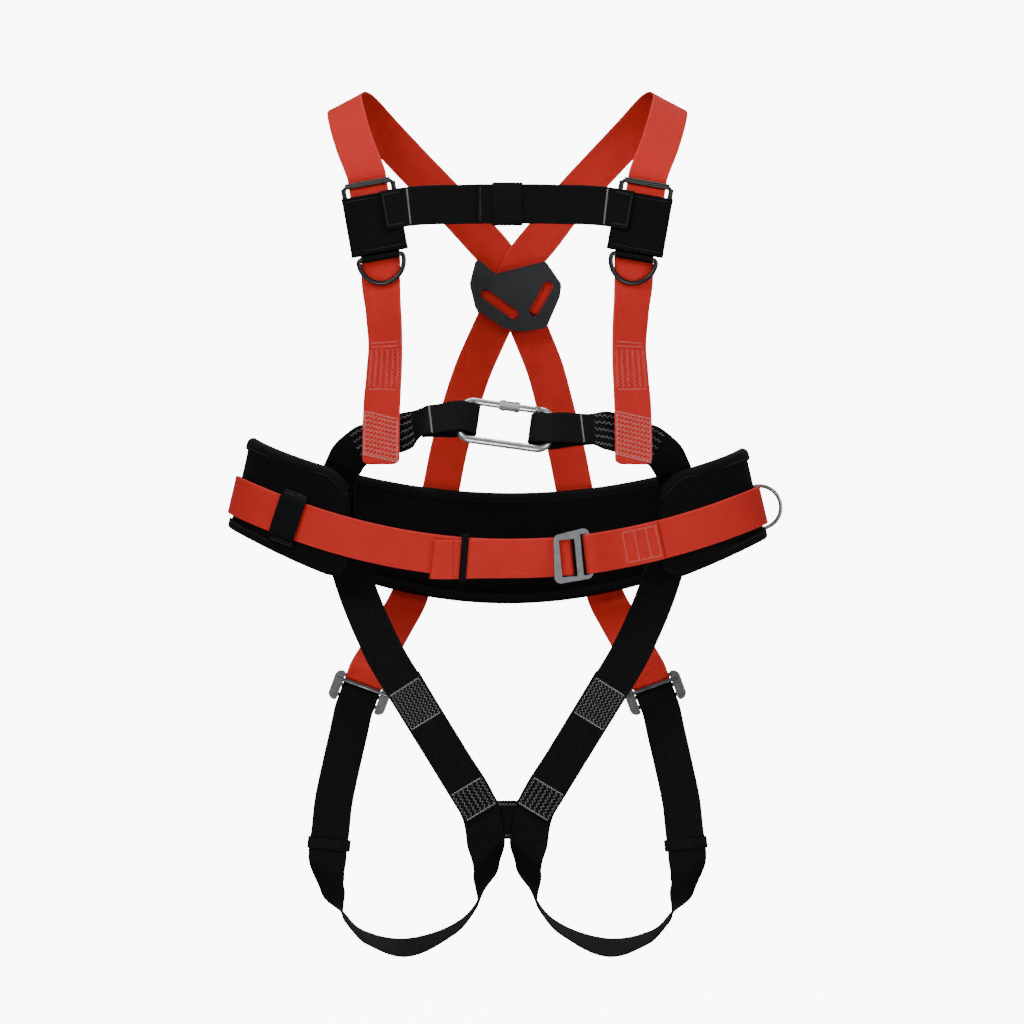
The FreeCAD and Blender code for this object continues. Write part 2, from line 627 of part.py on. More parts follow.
def carabiner_gate():
    up = CARABINER_HALF_WIDTH
    bar = rod(Vec(GATE_TIP, up, 0), Vec(GATE_PIVOT, up, 0), GATE_BAR)
    end = Part.makeSphere(GATE_BAR, Vec(GATE_PIVOT, up, 0))
    nose_slot = block(GATE_TIP - 1, GATE_TIP + 6, up - 6, up + 6, -1.8, 1.8)
    hinge_slot = block(GATE_PIVOT - 4.2, GATE_PIVOT + 6, up - 6, up + 6, -2.25, 2.25)
    pin_bore = Part.makeCylinder(GATE_PIN, 12, Vec(GATE_PIVOT, up, -6))
    spring_bore = rod(Vec(GATE_PIVOT - 20, up, 0), Vec(GATE_PIVOT - 4, up, 0), 1.4)
    shape = bar.fuse(end)
    for cutter in (nose_slot, hinge_slot, pin_bore, spring_bore):
        shape = shape.cut(cutter)
    return placed(shape, CARABINER_AT, CARABINER_ALONG, CARABINER_UP)


def carabiner_pin():
    pin = Part.makeCylinder(GATE_PIN, 7.4, Vec(GATE_PIVOT, CARABINER_HALF_WIDTH, -3.7))
    return placed(pin, CARABINER_AT, CARABINER_ALONG, CARABINER_UP)


def carabiner_spring():
    up = CARABINER_HALF_WIDTH
    start = Vec(GATE_PIVOT - 19.5, up, 0)
    end = Vec(GATE_PIVOT - 4.6, up, 0)
    return placed(rod(start, end, 1.25).cut(rod(start, end, 0.7)), CARABINER_AT,
                  CARABINER_ALONG, CARABINER_UP)


def carabiner_sleeve():
    up = CARABINER_HALF_WIDTH
    start = Vec(SLEEVE_NUT_FROM, up, 0)
    end = Vec(SLEEVE_NUT_TO, up, 0)
    tube = rod(start, end, SLEEVE_NUT_OUTER - 0.8)
    for offset in (3.0, 18.0):
        at = start + Vec(offset, 0, 0)
        tube = tube.fuse(rod(at, at + Vec(3.5, 0, 0), SLEEVE_NUT_OUTER))
    return placed(tube.cut(rod(start, end, SLEEVE_NUT_BORE)), CARABINER_AT,
                  CARABINER_ALONG, CARABINER_UP)


# ---- waist: places on the padded belt ------------------------------------------
def waist_axes(angle):
    """Outward and upward directions of the belt's face at an angle round the waist."""
    turn = radians(angle)
    out = unit(Vec(cos(turn) / WAIST_A, sin(turn) / WAIST_B, 0))
    lean = radians(FLARE) * cos(turn) ** 4
    return out, Vec(0, 0, 1) * cos(lean) - out * sin(lean)


def waist_point(angle, out_by, up_by):
    """Point on the pad's outer face, seen from the pad's middle line."""
    turn = radians(angle)
    x = WAIST_X + WAIST_A * cos(turn)
    y = WAIST_Y + WAIST_B * sin(turn)
    out, up = waist_axes(angle)
    level = PAD_SIDE_Z - PAD_SAG * sin(turn) ** 2 - WAIST_TILT * x
    return Vec(x, y, level) + out * out_by + up * up_by


def belt_point(angle, out_by, up_by=0.0):
    """The same, seen from the belt's middle line."""
    return waist_point(angle, out_by, up_by + BELT_LOW + BELT_RISE * sin(radians(angle)) ** 2)


def belt_frame(angle):
    """Directions along the belt, across it and out of its face."""
    out, up = waist_axes(angle)
    along = belt_point(angle + 0.5, 0) - belt_point(angle - 0.5, 0)
    along = unit(along - out * along.dot(out))
    return along, unit(up - along * up.dot(along)), out


def front_angle(x):
    return -degrees(acos((x - WAIST_X) / WAIST_A))


def belt_station(angle, out_by, up_by=0.0):
    at = belt_point(angle, out_by, up_by)
    across = belt_frame(angle)[1]
    return (at.x, at.y, at.z, across.x, across.y, across.z)


def front_station(x, out_by, up_by=0.0):
    return belt_station(front_angle(x), out_by, up_by)


def pad_shell(shrink):
    """The pad's outer shape, or the same shape drawn in by a wall thickness."""
    start = PAD_FROM + shrink * 0.25
    end = PAD_TO - shrink * 0.25
    count = round((end - start) / PAD_STEP)
    sections = []
    for i in range(count + 1):
        angle = start + (end - start) * i / count
        swell = sin(radians(angle)) ** 2
        half = PAD_HALF_HEIGHT + PAD_EXTRA_HEIGHT * swell - shrink
        near_end = min(i, count - i)
        if near_end < 2:
            half -= 16 - 12 * near_end
        inner = -PAD_THICK + shrink
        outer = -shrink
        edge = 4.0
        profile = [(inner, -half + edge), (inner + edge, -half), (outer - edge, -half),
                   (outer, -half + edge), (outer, half - edge), (outer - edge, half),
                   (inner + edge, half), (inner, half - edge)]
        ring = [waist_point(angle, out, up) for out, up in profile]
        sections.append(Part.makePolygon(ring + ring[:1]))
    return Part.makeLoft(sections, True, True)


def waist_belt():
    """Webbing from its sewn loop on the buckle, round the waist, through the buckle."""
    out = BELT_GAP
    right_bar = BUCKLE_X + BUCKLE_HALF_WIDTH - 2
    frame = BUCKLE_FRAME_OUT
    wrap = BUCKLE_FRAME_THICK / 2 + 1.7 + WEB_THICK / 2
    route = [front_station(171, out + LAYER_STEP), front_station(150, out + LAYER_STEP),
             front_station(128, out + LAYER_STEP + 1.5), front_station(108, frame - 1),
             front_station(right_bar + 6, frame + wrap - 0.6),
             front_station(right_bar, frame + wrap),
             front_station(right_bar - wrap * 0.75, frame + wrap * 0.75),
             front_station(right_bar - wrap, frame),
             front_station(right_bar - wrap * 0.75, frame - wrap * 0.75),
             front_station(right_bar, frame - wrap),
             front_station(right_bar + 8, frame - wrap - 1.8),
             front_station(124, out + 1.2), front_station(146, out), front_station(168, out)]
    first = front_angle(196)
    last = 360 + front_angle(-190)
    count = 26
    for i in range(count + 1):
        angle = first + (last - first) * i / count
        extra = BELT_OVER_STRAPS * max(0, sin(radians(angle))) ** 2
        route.append(belt_station(angle, out + extra))
    bar = BUCKLE_BAR_OUT
    turn = BUCKLE_BAR + 0.3 + WEB_THICK / 2
    middle = BUCKLE_X - 2
    for x in (-150, -110, -70, -30, 10, 40):
        route.append(front_station(x, out))
    route += [front_station(middle - 8, bar - turn), front_station(middle, bar - turn),
              front_station(middle + turn * 0.71, bar - turn * 0.71),
              front_station(middle + turn, bar),
              front_station(middle + turn * 0.71, bar + turn * 0.71),
              front_station(middle, bar + turn), front_station(middle - 14, bar + turn - 2.2),
              front_station(middle - 34, out + LAYER_STEP + 0.3),
              front_station(0, out + LAYER_STEP), front_station(-30, out + LAYER_STEP, -1),
              front_station(-56, out + LAYER_STEP, -3.5),
              front_station(-80, out + LAYER_STEP, -6)]
    return ribbon(route, steps=4)


def belt_buckle_frame():
    """Cast frame: webbing bar on the right, wide window, thick bar on the left."""
    half_width, half_height = BUCKLE_HALF_WIDTH, BUCKLE_HALF_HEIGHT
    corner = 7.0
    left = half_width - 3.5
    outline = [Vec(-left - 1.5, -half_height - 2, 0), Vec(half_width, -half_height + 1, 0),
               Vec(half_width, half_height + 2, 0), Vec(-left + 2, half_height - 4, 0)]
    plate = Part.Face(rounded_path(outline, [corner] * 4, True))
    plate = plate.extrude(Vec(0, 0, BUCKLE_FRAME_THICK))
    plate.translate(Vec(0, 0, -BUCKLE_FRAME_THICK / 2))
    inside = half_height - 5.0
    window = block(-12, 5.5, -inside, inside - 4.5, -9, 9)
    slot = block(12.3, half_width - 4, -inside, inside, -9, 9)
    return buckle_placed(plate.cut(window).cut(slot), BUCKLE_FRAME_OUT)


def belt_buckle_bar():
    bar = rod(Vec(-2, -26, 0), Vec(-2, 26, 0), BUCKLE_BAR)
    return buckle_placed(bar, BUCKLE_BAR_OUT)


def buckle_placed(shape, out_by):
    return on_belt(front_angle(BUCKLE_X), shape, out_by)


def on_belt(angle, shape, out_by=0.0, up_by=0.0):
    """Place a piece on the belt: x runs round the waist, y across the belt, z outward."""
    along, across, out = belt_frame(angle)
    return placed(shape, belt_point(angle, out_by, up_by), along, across)


def belt_loop(angle, width, room):
    """Webbing loop sewn on the pad above and below the belt."""
    half = width / 2
    outer = block(-half, half, -31, 31, 0.5, room + 2.0)
    inner = block(-half - 1, half + 1, -23.4, 23.4, -1, room)
    return on_belt(angle, outer.cut(inner))


def belt_keeper():
    middle = BELT_GAP + LAYER_STEP / 2
    shape = band(WEB_WIDTH / 2 + 3.2, LAYER_STEP + 0.4, 8.0, KEEPER_WALL)
    turned = placed(shape, Vec(0, 0, 0), Vec(0, 1, 0), Vec(1, 0, 0))
    return on_belt(front_angle(-48), turned, middle, -1.5)


# ---- side rings -------------------------------------------------------------------
def side_angle(side):
    return SIDE_RING_ANGLE if side == "right" else 180 - SIDE_RING_ANGLE


def side_ring(side):
    """The right ring stands out to the side; the left one lies back along the belt."""
    ring = d_ring(SIDE_RING_HALF_WIDTH, SIDE_RING_DEPTH, SIDE_RING_WIRE, 4.0)
    along, across, out = belt_frame(side_angle(side))
    reach = Vec(1, 0, 0) if side == "right" else along * -1
    reach = unit(reach - across * reach.dot(across))
    return placed(ring, belt_point(side_angle(side), SIDE_RING_OUT), across, reach * -1)


def side_ring_loop(side):
    """Webbing eye round the ring's bar, with a tongue that is sewn over the belt."""
    half = SIDE_LOOP_HEIGHT / 2
    bore = SIDE_RING_WIRE + RUNNING_GAP
    wall = 1.6
    eye = rod(Vec(0, -half, 0), Vec(0, half, 0), bore + wall)
    tongue = block(-24, 0, -half, half, -bore - wall, -bore)
    if side == "left":
        tongue = block(0, 24, -half, half, -bore - wall, -bore)
    hole = rod(Vec(0, -half - 1, 0), Vec(0, half + 1, 0), bore)
    return on_belt(side_angle(side), eye.fuse(tongue).cut(hole), SIDE_RING_OUT)


# ---- legs ---------------------------------------------------------------------------
THIGH_LEAN = radians(THIGH_BUCKLE_LEAN)
THIGH_ACROSS = Vec(cos(THIGH_LEAN), 0, -sin(THIGH_LEAN))
THIGH_UP = Vec(sin(THIGH_LEAN), 0, cos(THIGH_LEAN))


def thigh_station(height, proud):
    at = THIGH_BUCKLE_AT + THIGH_UP * height + FORWARD * proud
    return (at.x, at.y, at.z, -THIGH_ACROSS.x, 0, -THIGH_ACROSS.z)


def far_thigh_station(height, proud):
    """The same place on the right-hand buckle, for a strap that crossed the back."""
    x, y, z, cx, cy, cz = thigh_station(height, proud)
    return (-x, y, z, -cx, cy, cz)


def thigh_buckle(side):
    """Cast three-bar frame with thick ends, and a rail across the front between the straps."""
    frame = three_bar_frame(THIGH_BUCKLE_HALF_WIDTH, THIGH_BUCKLE_PITCH, THIGH_BUCKLE_BAR)
    inner, outer = WEB_WIDTH / 2 + 1.0, THIGH_BUCKLE_HALF_WIDTH + 4.5
    for side_sign in (-1, 1):
        outline = [Vec(inner * side_sign, -THIGH_CHEEK_BELOW, THIGH_CHEEK_BACK),
                   Vec(outer * side_sign, -THIGH_CHEEK_BELOW, THIGH_CHEEK_BACK),
                   Vec(outer * side_sign, THIGH_CHEEK_ABOVE, THIGH_CHEEK_BACK),
                   Vec(inner * side_sign, THIGH_CHEEK_ABOVE, THIGH_CHEEK_BACK)]
        cheek = Part.Face(rounded_path(outline, [3, 7.5, 7.5, 3], True))
        frame = frame.fuse(cheek.extrude(Vec(0, 0, THIGH_CHEEK_FRONT - THIGH_CHEEK_BACK)))
    reach = THIGH_BUCKLE_HALF_WIDTH + 1
    frame = frame.fuse(rod(Vec(-reach, THIGH_RAIL_UP, THIGH_RAIL_OUT),
                           Vec(reach, THIGH_RAIL_UP, THIGH_RAIL_OUT), THIGH_RAIL))
    return at_side(placed(frame, THIGH_BUCKLE_AT, THIGH_ACROSS, THIGH_UP), side)


def leg_strap(side):
    """Sewn on the hip strap, through the crotch, round the thigh and back from its buckle."""
    diagonal = BAR_WRAP * 0.71
    buckle = [thigh_station(-24, 3.0), thigh_station(-12, BAR_WRAP),
              thigh_station(0, BAR_WRAP), thigh_station(diagonal, diagonal),
              thigh_station(BAR_WRAP, 0), thigh_station(diagonal, -diagonal),
              thigh_station(0, -BAR_WRAP), thigh_station(-12, -BAR_WRAP),
              thigh_station(-24, -2.9)]
    route = LEG_ROUTE + buckle + LEG_TAIL_ROUTE
    return ribbon(route if side == "left" else mirrored(route))


def crotch_patch():
    return ribbon([(0, -151, -596, 1, 0, 0), (0, -147, -618, 1, 0, 0),
                   (0, -143, -640, 1, 0, 0)], width=66)


KEEPER_AXIS = unit(Vec(0.109, 0, 0.994))
UPPER_KEEPER_AT = Vec(-205.3, -110.55, -649)


def leg_keeper(side):
    shape = band(WEB_WIDTH / 2 + 1.2, LAYER_STEP + 0.9, 13.0, KEEPER_WALL)
    across = Vec(KEEPER_AXIS.z, 0, -KEEPER_AXIS.x)
    return at_side(placed(shape, UPPER_KEEPER_AT, across, KEEPER_AXIS), side)


# ---- write one file for each node ------------------------------------------------------
def build():
    cover_outside = pad_shell(0.0)
    nodes = {
        "dorsal_plate": dorsal_plate(),
        "dorsal_plate_lining": dorsal_plate_lining(),
        "dorsal_d_ring": dorsal_ring(),
        "chest_keeper": chest_keeper(),
        "carabiner_body": carabiner_body(),
        "carabiner_gate": carabiner_gate(),
        "carabiner_gate_pin": carabiner_pin(),
        "carabiner_gate_spring": carabiner_spring(),
        "carabiner_screw_sleeve": carabiner_sleeve(),
        "waist_pad_cover": cover_outside.cut(pad_shell(COVER_WALL)),
        "waist_pad_foam": pad_shell(COVER_WALL + 0.2),
        "waist_belt": waist_belt(),
        "belt_buckle_frame": belt_buckle_frame(),
        "belt_buckle_bar": belt_buckle_bar(),
        "belt_loop_front": belt_loop(218.7, 34.0, 5.0),
        "belt_loop_rear_middle": belt_loop(90.0, 40.0, 9.2),
        "belt_loop_rear_left": belt_loop(132.0, 30.0, 7.2),
        "belt_loop_rear_right": belt_loop(48.0, 30.0, 7.2),
        "belt_keeper": belt_keeper(),
        "crotch_patch": crotch_patch(),
    }
    paired = {
        "shoulder_strap": shoulder_strap,
        "chest_webbing": chest_webbing,
        "chest_adjuster": chest_adjuster,
        "chest_sleeve": chest_sleeve,
        "chest_d_ring": chest_ring,
        "chest_ring_loop": chest_ring_loop,
        "chest_strap": chest_strap,
        "hip_strap": hip_strap,
        "side_d_ring": side_ring,
        "side_ring_loop": side_ring_loop,
        "leg_strap": leg_strap,
        "thigh_buckle": thigh_buckle,
        "leg_keeper": leg_keeper,
    }
    for name, make in paired.items():
        for side in ("left", "right"):
            nodes[name + "_" + side] = make(side)
    os.makedirs("parts", exist_ok=True)
    for name, shape in nodes.items():
        shape.exportStep("parts/" + name + ".step")
        print(name, "solids", len(shape.Solids), "valid", shape.isValid(),
              "volume", round(shape.Volume, 1))


build()
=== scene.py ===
import bmesh
import bpy
import json
from math import acos, cos, degrees, pi, radians, sin, sqrt
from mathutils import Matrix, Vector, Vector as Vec


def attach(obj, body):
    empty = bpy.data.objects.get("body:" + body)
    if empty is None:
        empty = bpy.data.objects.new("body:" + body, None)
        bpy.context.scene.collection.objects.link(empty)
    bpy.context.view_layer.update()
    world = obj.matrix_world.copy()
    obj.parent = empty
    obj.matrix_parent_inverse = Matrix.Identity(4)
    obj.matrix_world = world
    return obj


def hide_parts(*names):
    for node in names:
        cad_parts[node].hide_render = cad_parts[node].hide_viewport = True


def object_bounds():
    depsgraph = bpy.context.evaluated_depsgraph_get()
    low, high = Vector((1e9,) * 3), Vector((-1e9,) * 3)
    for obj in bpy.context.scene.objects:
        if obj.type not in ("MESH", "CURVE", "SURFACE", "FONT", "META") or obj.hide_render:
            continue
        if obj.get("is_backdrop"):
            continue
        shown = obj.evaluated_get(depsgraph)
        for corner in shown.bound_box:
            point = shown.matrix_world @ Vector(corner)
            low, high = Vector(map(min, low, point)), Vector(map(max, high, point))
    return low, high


# Looks of the full-body safety harness: webbing, stitching, padding, metal and light.
# Routes are in millimetres, as in the part's source; meshes are written in metres.

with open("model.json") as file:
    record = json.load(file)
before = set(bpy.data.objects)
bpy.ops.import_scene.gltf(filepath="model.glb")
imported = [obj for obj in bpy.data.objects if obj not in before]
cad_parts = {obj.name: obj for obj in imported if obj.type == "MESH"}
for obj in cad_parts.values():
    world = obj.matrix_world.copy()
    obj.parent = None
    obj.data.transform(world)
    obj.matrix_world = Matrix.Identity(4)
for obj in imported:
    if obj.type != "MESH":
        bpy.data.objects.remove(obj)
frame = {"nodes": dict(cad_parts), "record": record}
MM = 0.001
cad_low, cad_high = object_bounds()
ROOT = "harness"

# ---- sizes shared with the part's source ------------------------------------
WEB_WIDTH = 44.0
WEB_THICK = 2.3             # a little under the solid's, so layers keep clear
LAYER_STEP = 2.9
ADJUSTER_AT = Vec((-153, -222, 82))
ADJUSTER_LEAN = radians(10.0)
ADJUSTER_PITCH = 18.0
SLEEVE_TOP = 6.0
SLEEVE_BOTTOM = -59.8
SLEEVE_HALF_WIDTH = 32.4
SLEEVE_BACK = -10.8
SLEEVE_FRONT = 8.0
SLEEVE_WALL = 2.0
CHEST_RING_DROP = -64.5
CHEST_RING_PROUD = 3.0
CHEST_RING_WIRE = 2.7
CHEST_STRAP_Y = -232.0
CHEST_STRAP_Z = 76.8
CHEST_KEEPER_HALF = 17.0
CARABINER_AT = Vec((-2, -238, -170))
CARABINER_ROLL = radians(8.0)
CARABINER_TILT = radians(30.0)
CARABINER_HALF_LENGTH = 50.0
EYE_BEND = 0.24
EYE_WIDTH = 38.0
WAIST_X = -11.0
WAIST_Y = -115.0
WAIST_A = 300.0
WAIST_B = 125.0
WAIST_TILT = 0.02
FLARE = radians(13.0)
PAD_THICK = 14.0
PAD_SIDE_Z = -240.0
PAD_SAG = 70.0
BELT_LOW = -13.0
BELT_RISE = 4.0
PAD_HALF_HEIGHT = 54.0
PAD_EXTRA_HEIGHT = 12.0
PAD_FROM = -53.0
PAD_TO = 237.0
BELT_GAP = 1.8
BELT_OVER_STRAPS = 4.6
BUCKLE_X = 69.0
BUCKLE_BAR_OUT = 5.95
BUCKLE_BAR = 2.6
BUCKLE_FRAME_OUT = 14.1
BUCKLE_FRAME_THICK = 4.0
BUCKLE_HALF_WIDTH = 23.0
SIDE_RING_ANGLE = 22.0
SIDE_RING_WIRE = 2.3
SIDE_RING_OUT = 8.0
SIDE_LOOP_HEIGHT = 38.0
THIGH_BUCKLE_AT = Vec((-169, -112, -473))
THIGH_LEAN = radians(20.0)
THIGH_PITCH = 12.0
BAR_WRAP = 3.85
LINING_Y = -5.2
FORWARD = Vec((0, -1, 0))

# ---- routes of the webbing, left-hand pieces -----------------------------------
# Each station is x, y, z and then the direction across the webbing.
OVER_SHOULDER = [
    (-171.9, -190, 147, 0.96, 0.0, 0.27),
    (-183.0, -152, 183, 0.93, 0.0, 0.36),
    (-186.5, -105, 205, 0.885, 0.0, 0.465),
    (-172.0, -60, 203, 0.78, 0.0, 0.62),
    (-143.9, -30, 175, 0.71, 0.0, 0.70),
    (-109.0, -16, 139, 0.71, 0.0, 0.70),
]
# The strap from the left shoulder lies outside; the other one passes inside it.
BACK_CROSSING = {
    "left": [
        (-74.3, -5.0, 104, 0.71, 0.0, 0.70),
        (-33.0, 7.6, 60, 0.75, 0.0, 0.66),
        (-10.5, 8.9, 33, 0.84, 0.0, 0.54),
        (4.0, 8.9, 0, 0.91, 0.0, 0.42),
        (18.0, 8.9, -32, 0.92, 0.0, 0.39),
        (29.0, 8.4, -58, 0.92, 0.0, 0.38),
        (45.0, 6.5, -99, 0.94, 0.0, 0.34),
        (57.5, 5.0, -146, 0.97, 0.0, 0.25),
    ],
    "right": [
        (76.3, -7.0, 104, -0.71, 0.0, 0.70),
        (42.0, 4.5, 60, -0.76, 0.0, 0.65),
        (20.5, 5.7, 33, -0.84, 0.0, 0.54),
        (4.0, 5.7, 0, -0.91, 0.0, 0.42),
        (-11.0, 5.7, -32, -0.92, 0.0, 0.39),
        (-23.0, 5.4, -58, -0.92, 0.0, 0.38),
        (-41.0, 5.0, -99, -0.94, 0.0, 0.34),
        (-56.5, 5.0, -146, -0.97, 0.0, 0.25),
    ],
}
# On the pad's back: x, z, distance out of its face, and lean in degrees.
ON_PAD = [(69.4, -194, 3.8, 13), (79.0, -241, 2.3, 13), (88.0, -278, 2.25, 14),
          (98.0, -312, 2.25, 16), (110.0, -348, 2.4, 19)]
UNDER_SEAT = [
    (117.5, 2.6, -370, 0.93, -0.10, 0.36),
    (129.0, -20, -392, 0.93, -0.05, 0.36),
    (139.8, -55, -412, 0.93, 0.0, 0.36),
    (149.8, -87, -430, 0.94, 0.0, 0.34),
]
CHEST_ROUTE = [
    (-141.6, -219, -8, 0.99, -0.1, 0.02),
    (-138.5, -221, -44, 0.92, -0.38, 0.0),
    (-136.5, -222.5, -80, 0.88, -0.47, 0.0),
    (-138.0, -225.0, -115, 0.92, -0.38, 0.0),
    (-140.0, -228.3, -145, 0.95, -0.30, 0.0),
    (-141.0, -229.9, -178, 0.96, -0.28, 0.0),
    (-141.0, -230.3, -214, 0.96, -0.28, 0.0),
]
HIP_ROUTE = [
    (-112.0, -229.5, -176, 0.12, 0.15, 0.98),
    (-140.0, -223.6, -184, 0.2, 0.08, 0.98),
    (-163.0, -208, -192, -0.38, 0.12, 0.91),
    (-181.0, -191, -208, -0.74, 0.14, 0.65),
    (-192.0, -178, -235, -0.95, 0.25, 0.14),
    (-191.5, -172, -276, -0.97, 0.24, -0.06),
    (-180.2, -171, -325, -0.96, 0.15, -0.24),
    (-164.0, -174, -372, -0.93, 0.05, -0.36),
    (-138.4, -177, -428, -0.87, 0.0, -0.50),
    (-106.9, -174, -480, -0.85, 0.0, -0.52),
    (-65.1, -166, -548.6, -0.85, 0.0, -0.52),
    (-28.0, -158, -610, -0.86, 0.0, -0.51),
]
LEG_ROUTE = [
    (-119.5, -171.6, -458, 0.85, 0.0, 0.52),
    (-106.5, -170.9, -480, 0.85, 0.0, 0.52),
    (-65.0, -162.8, -548.6, 0.85, 0.0, 0.52),
    (-33.5, -155.6, -601.5, 0.88, 0.0, 0.45),
    (-24.5, -148, -643, 0.99, 0.08, 0.08),
    (-24.0, -140, -676, 0.62, 0.78, -0.05),
    (-33.0, -128, -713, 0.0, 1.0, 0.0),
    (-58.0, -119, -744, 0.1, 0.97, 0.22),
    (-114.0, -112, -768, 0.0, 0.93, 0.36),
    (-162.0, -110, -757, -0.15, 0.95, 0.24),
    (-186.0, -110, -735, 0.0, 1.0, 0.0),
    (-201.0, -111, -703, -0.66, 0.74, -0.1),
    (-207.0, -112, -664, -0.99, 0.0, 0.11),
    (-203.5, -112, -632, -0.99, 0.0, 0.11),
    (-200.0, -112, -600, -0.99, 0.0, 0.11),
    (-191.0, -112, -557, -0.97, 0.0, 0.22),
    (-182.5, -113.2, -520, -0.95, 0.0, 0.28),
]
LEG_TAIL_ROUTE = [
    (-182.5, -109.2, -520, -0.95, 0.0, 0.28),
    (-191.0, -109.0, -557, -0.97, 0.0, 0.22),
    (-200.0, -109.1, -600, -0.99, 0.0, 0.11),
    (-203.5, -109.1, -632, -0.99, 0.0, 0.11),
    (-207.0, -109.1, -664, -0.99, 0.0, 0.11),
    (-203.4, -107.6, -694, -0.74, 0.66, -0.05),
]

# ---- geometry -------------------------------------------------------------------
def mirrored(route):
    return [(-st[0], st[1], st[2], -st[3]) + tuple(st[4:]) for st in route]


def widened(route, width):
    """Add a width to each station of a route."""
    return [tuple(station[:6]) + (width,) for station in route]


def at_side(route, side):
    return list(route) if side == "left" else mirrored(route)


def hermite(before, start, end, after, t):
    """Smooth value between start and end, for chord-spaced vectors."""
    span = max((end - start).length, 1e-6)
    lead = (start - before).length
    trail = (after - end).length
    slope_in = (end - before) * (span / max(lead + span, 1e-6))
    slope_out = (after - start) * (span / max(span + trail, 1e-6))
    t2 = t * t
    t3 = t2 * t
    return (start * (2 * t3 - 3 * t2 + 1) + slope_in * (t3 - 2 * t2 + t)
            + end * (3 * t2 - 2 * t3) + slope_out * (t3 - t2))


CHEST_ACROSS = Vec((cos(ADJUSTER_LEAN), 0, sin(ADJUSTER_LEAN)))
CHEST_UP = Vec((-sin(ADJUSTER_LEAN), 0, cos(ADJUSTER_LEAN)))


def station(at, across):
    return (at.x, at.y, at.z, across.x, across.y, across.z)


def chest_station(height, proud):
    return station(ADJUSTER_AT + CHEST_UP * height + FORWARD * proud, CHEST_ACROSS)


CARABINER_ALONG = Vec((cos(CARABINER_ROLL), 0, -sin(CARABINER_ROLL)))
CARABINER_UP = Vec((sin(CARABINER_ROLL) * cos(CARABINER_TILT), sin(CARABINER_TILT),
                    cos(CARABINER_ROLL) * cos(CARABINER_TILT)))
CARABINER_FACE = CARABINER_ALONG.cross(CARABINER_UP)


def eye_station(x, face):
    """Beyond the carabiner's bar the webbing bends towards the hips."""
    bend = EYE_BEND * max(0, abs(x) - CARABINER_HALF_LENGTH) * (1 if x > 0 else -1)
    return station(CARABINER_AT + CARABINER_ALONG * x + CARABINER_UP * bend
                   + CARABINER_FACE * face, CARABINER_UP)


def waist_axes(angle):
    """Outward and upward directions of the belt's face at an angle round the waist."""
    turn = radians(angle)
    out = Vec((cos(turn) / WAIST_A, sin(turn) / WAIST_B, 0)).normalized()
    lean = FLARE * cos(turn) ** 4
    return out, Vec((0, 0, 1)) * cos(lean) - out * sin(lean)


def waist_point(angle, out_by, up_by):
    """Point on the pad's outer face, seen from the pad's middle line."""
    turn = radians(angle)
    x = WAIST_X + WAIST_A * cos(turn)
    y = WAIST_Y + WAIST_B * sin(turn)
    out, up = waist_axes(angle)
    level = PAD_SIDE_Z - PAD_SAG * sin(turn) ** 2 - WAIST_TILT * x
    return Vec((x, y, level)) + out * out_by + up * up_by


def belt_point(angle, out_by, up_by=0.0):
    return waist_point(angle, out_by, up_by + BELT_LOW + BELT_RISE * sin(radians(angle)) ** 2)


def belt_frame(angle):
    """Directions along the belt, across it and out of its face."""
    out, up = waist_axes(angle)
    along = belt_point(angle + 0.5, 0) - belt_point(angle - 0.5, 0)
    along = (along - out * along.dot(out)).normalized()
    return along, (up - along * up.dot(along)).normalized(), out


def front_angle(x):
    return -degrees(acos((x - WAIST_X) / WAIST_A))


def belt_station(angle, out_by, up_by=0.0):
    return station(belt_point(angle, out_by, up_by), belt_frame(angle)[1])


def front_station(x, out_by, up_by=0.0):
    return belt_station(front_angle(x), out_by, up_by)


def pad_back_station(x, z, out_by, lean):
    """Where a back strap lies on the outer face of the pad."""
    angle = degrees(acos((x - WAIST_X) / WAIST_A))
    out, up = waist_axes(angle)
    level = waist_point(angle, out_by, 0)
    at = level + up * ((z - level.z) / up.z)
    across = up.cross(out)
    if across.x * lean < 0:
        across = -across
    return station(at, across * cos(radians(abs(lean))) + up * sin(radians(abs(lean))))


THIGH_ACROSS = Vec((cos(THIGH_LEAN), 0, -sin(THIGH_LEAN)))
THIGH_UP = Vec((sin(THIGH_LEAN), 0, cos(THIGH_LEAN)))


def thigh_station(height, proud):
    return station(THIGH_BUCKLE_AT + THIGH_UP * height + FORWARD * proud, -THIGH_ACROSS)


def far_thigh_station(height, proud):
    x, y, z, cx, cy, cz = thigh_station(height, proud)
    return (-x, y, z, -cx, cy, cz)


def stations(place, spots):
    return [place(*spot) for spot in spots]


# ---- routes of whole pieces -------------------------------------------------------
def shoulder_route(side):
    weave = stations(chest_station, (
        (-40, -7.2), (-28, -7.2), (-ADJUSTER_PITCH, -7.0), (-12.5, -5.4), (-8, -1.4),
        (-4, 2.6), (0, 4.0), (9, 0.0), (ADJUSTER_PITCH, -4.0), (30, -4.6)))
    diagonal = BAR_WRAP * 0.71
    buckle = stations(far_thigh_station, (
        (26, 3.2), (THIGH_PITCH, BAR_WRAP), (THIGH_PITCH - diagonal, diagonal),
        (THIGH_PITCH - BAR_WRAP, 0), (THIGH_PITCH - diagonal, -diagonal),
        (THIGH_PITCH, -BAR_WRAP), (26, -1.4)))
    sign = 1 if side == "left" else -1
    on_pad = [pad_back_station(sign * x, z, out, sign * lean) for x, z, out, lean in ON_PAD]
    return (at_side(weave + OVER_SHOULDER, side) + BACK_CROSSING[side] + on_pad
            + at_side(UNDER_SEAT + buckle, side))


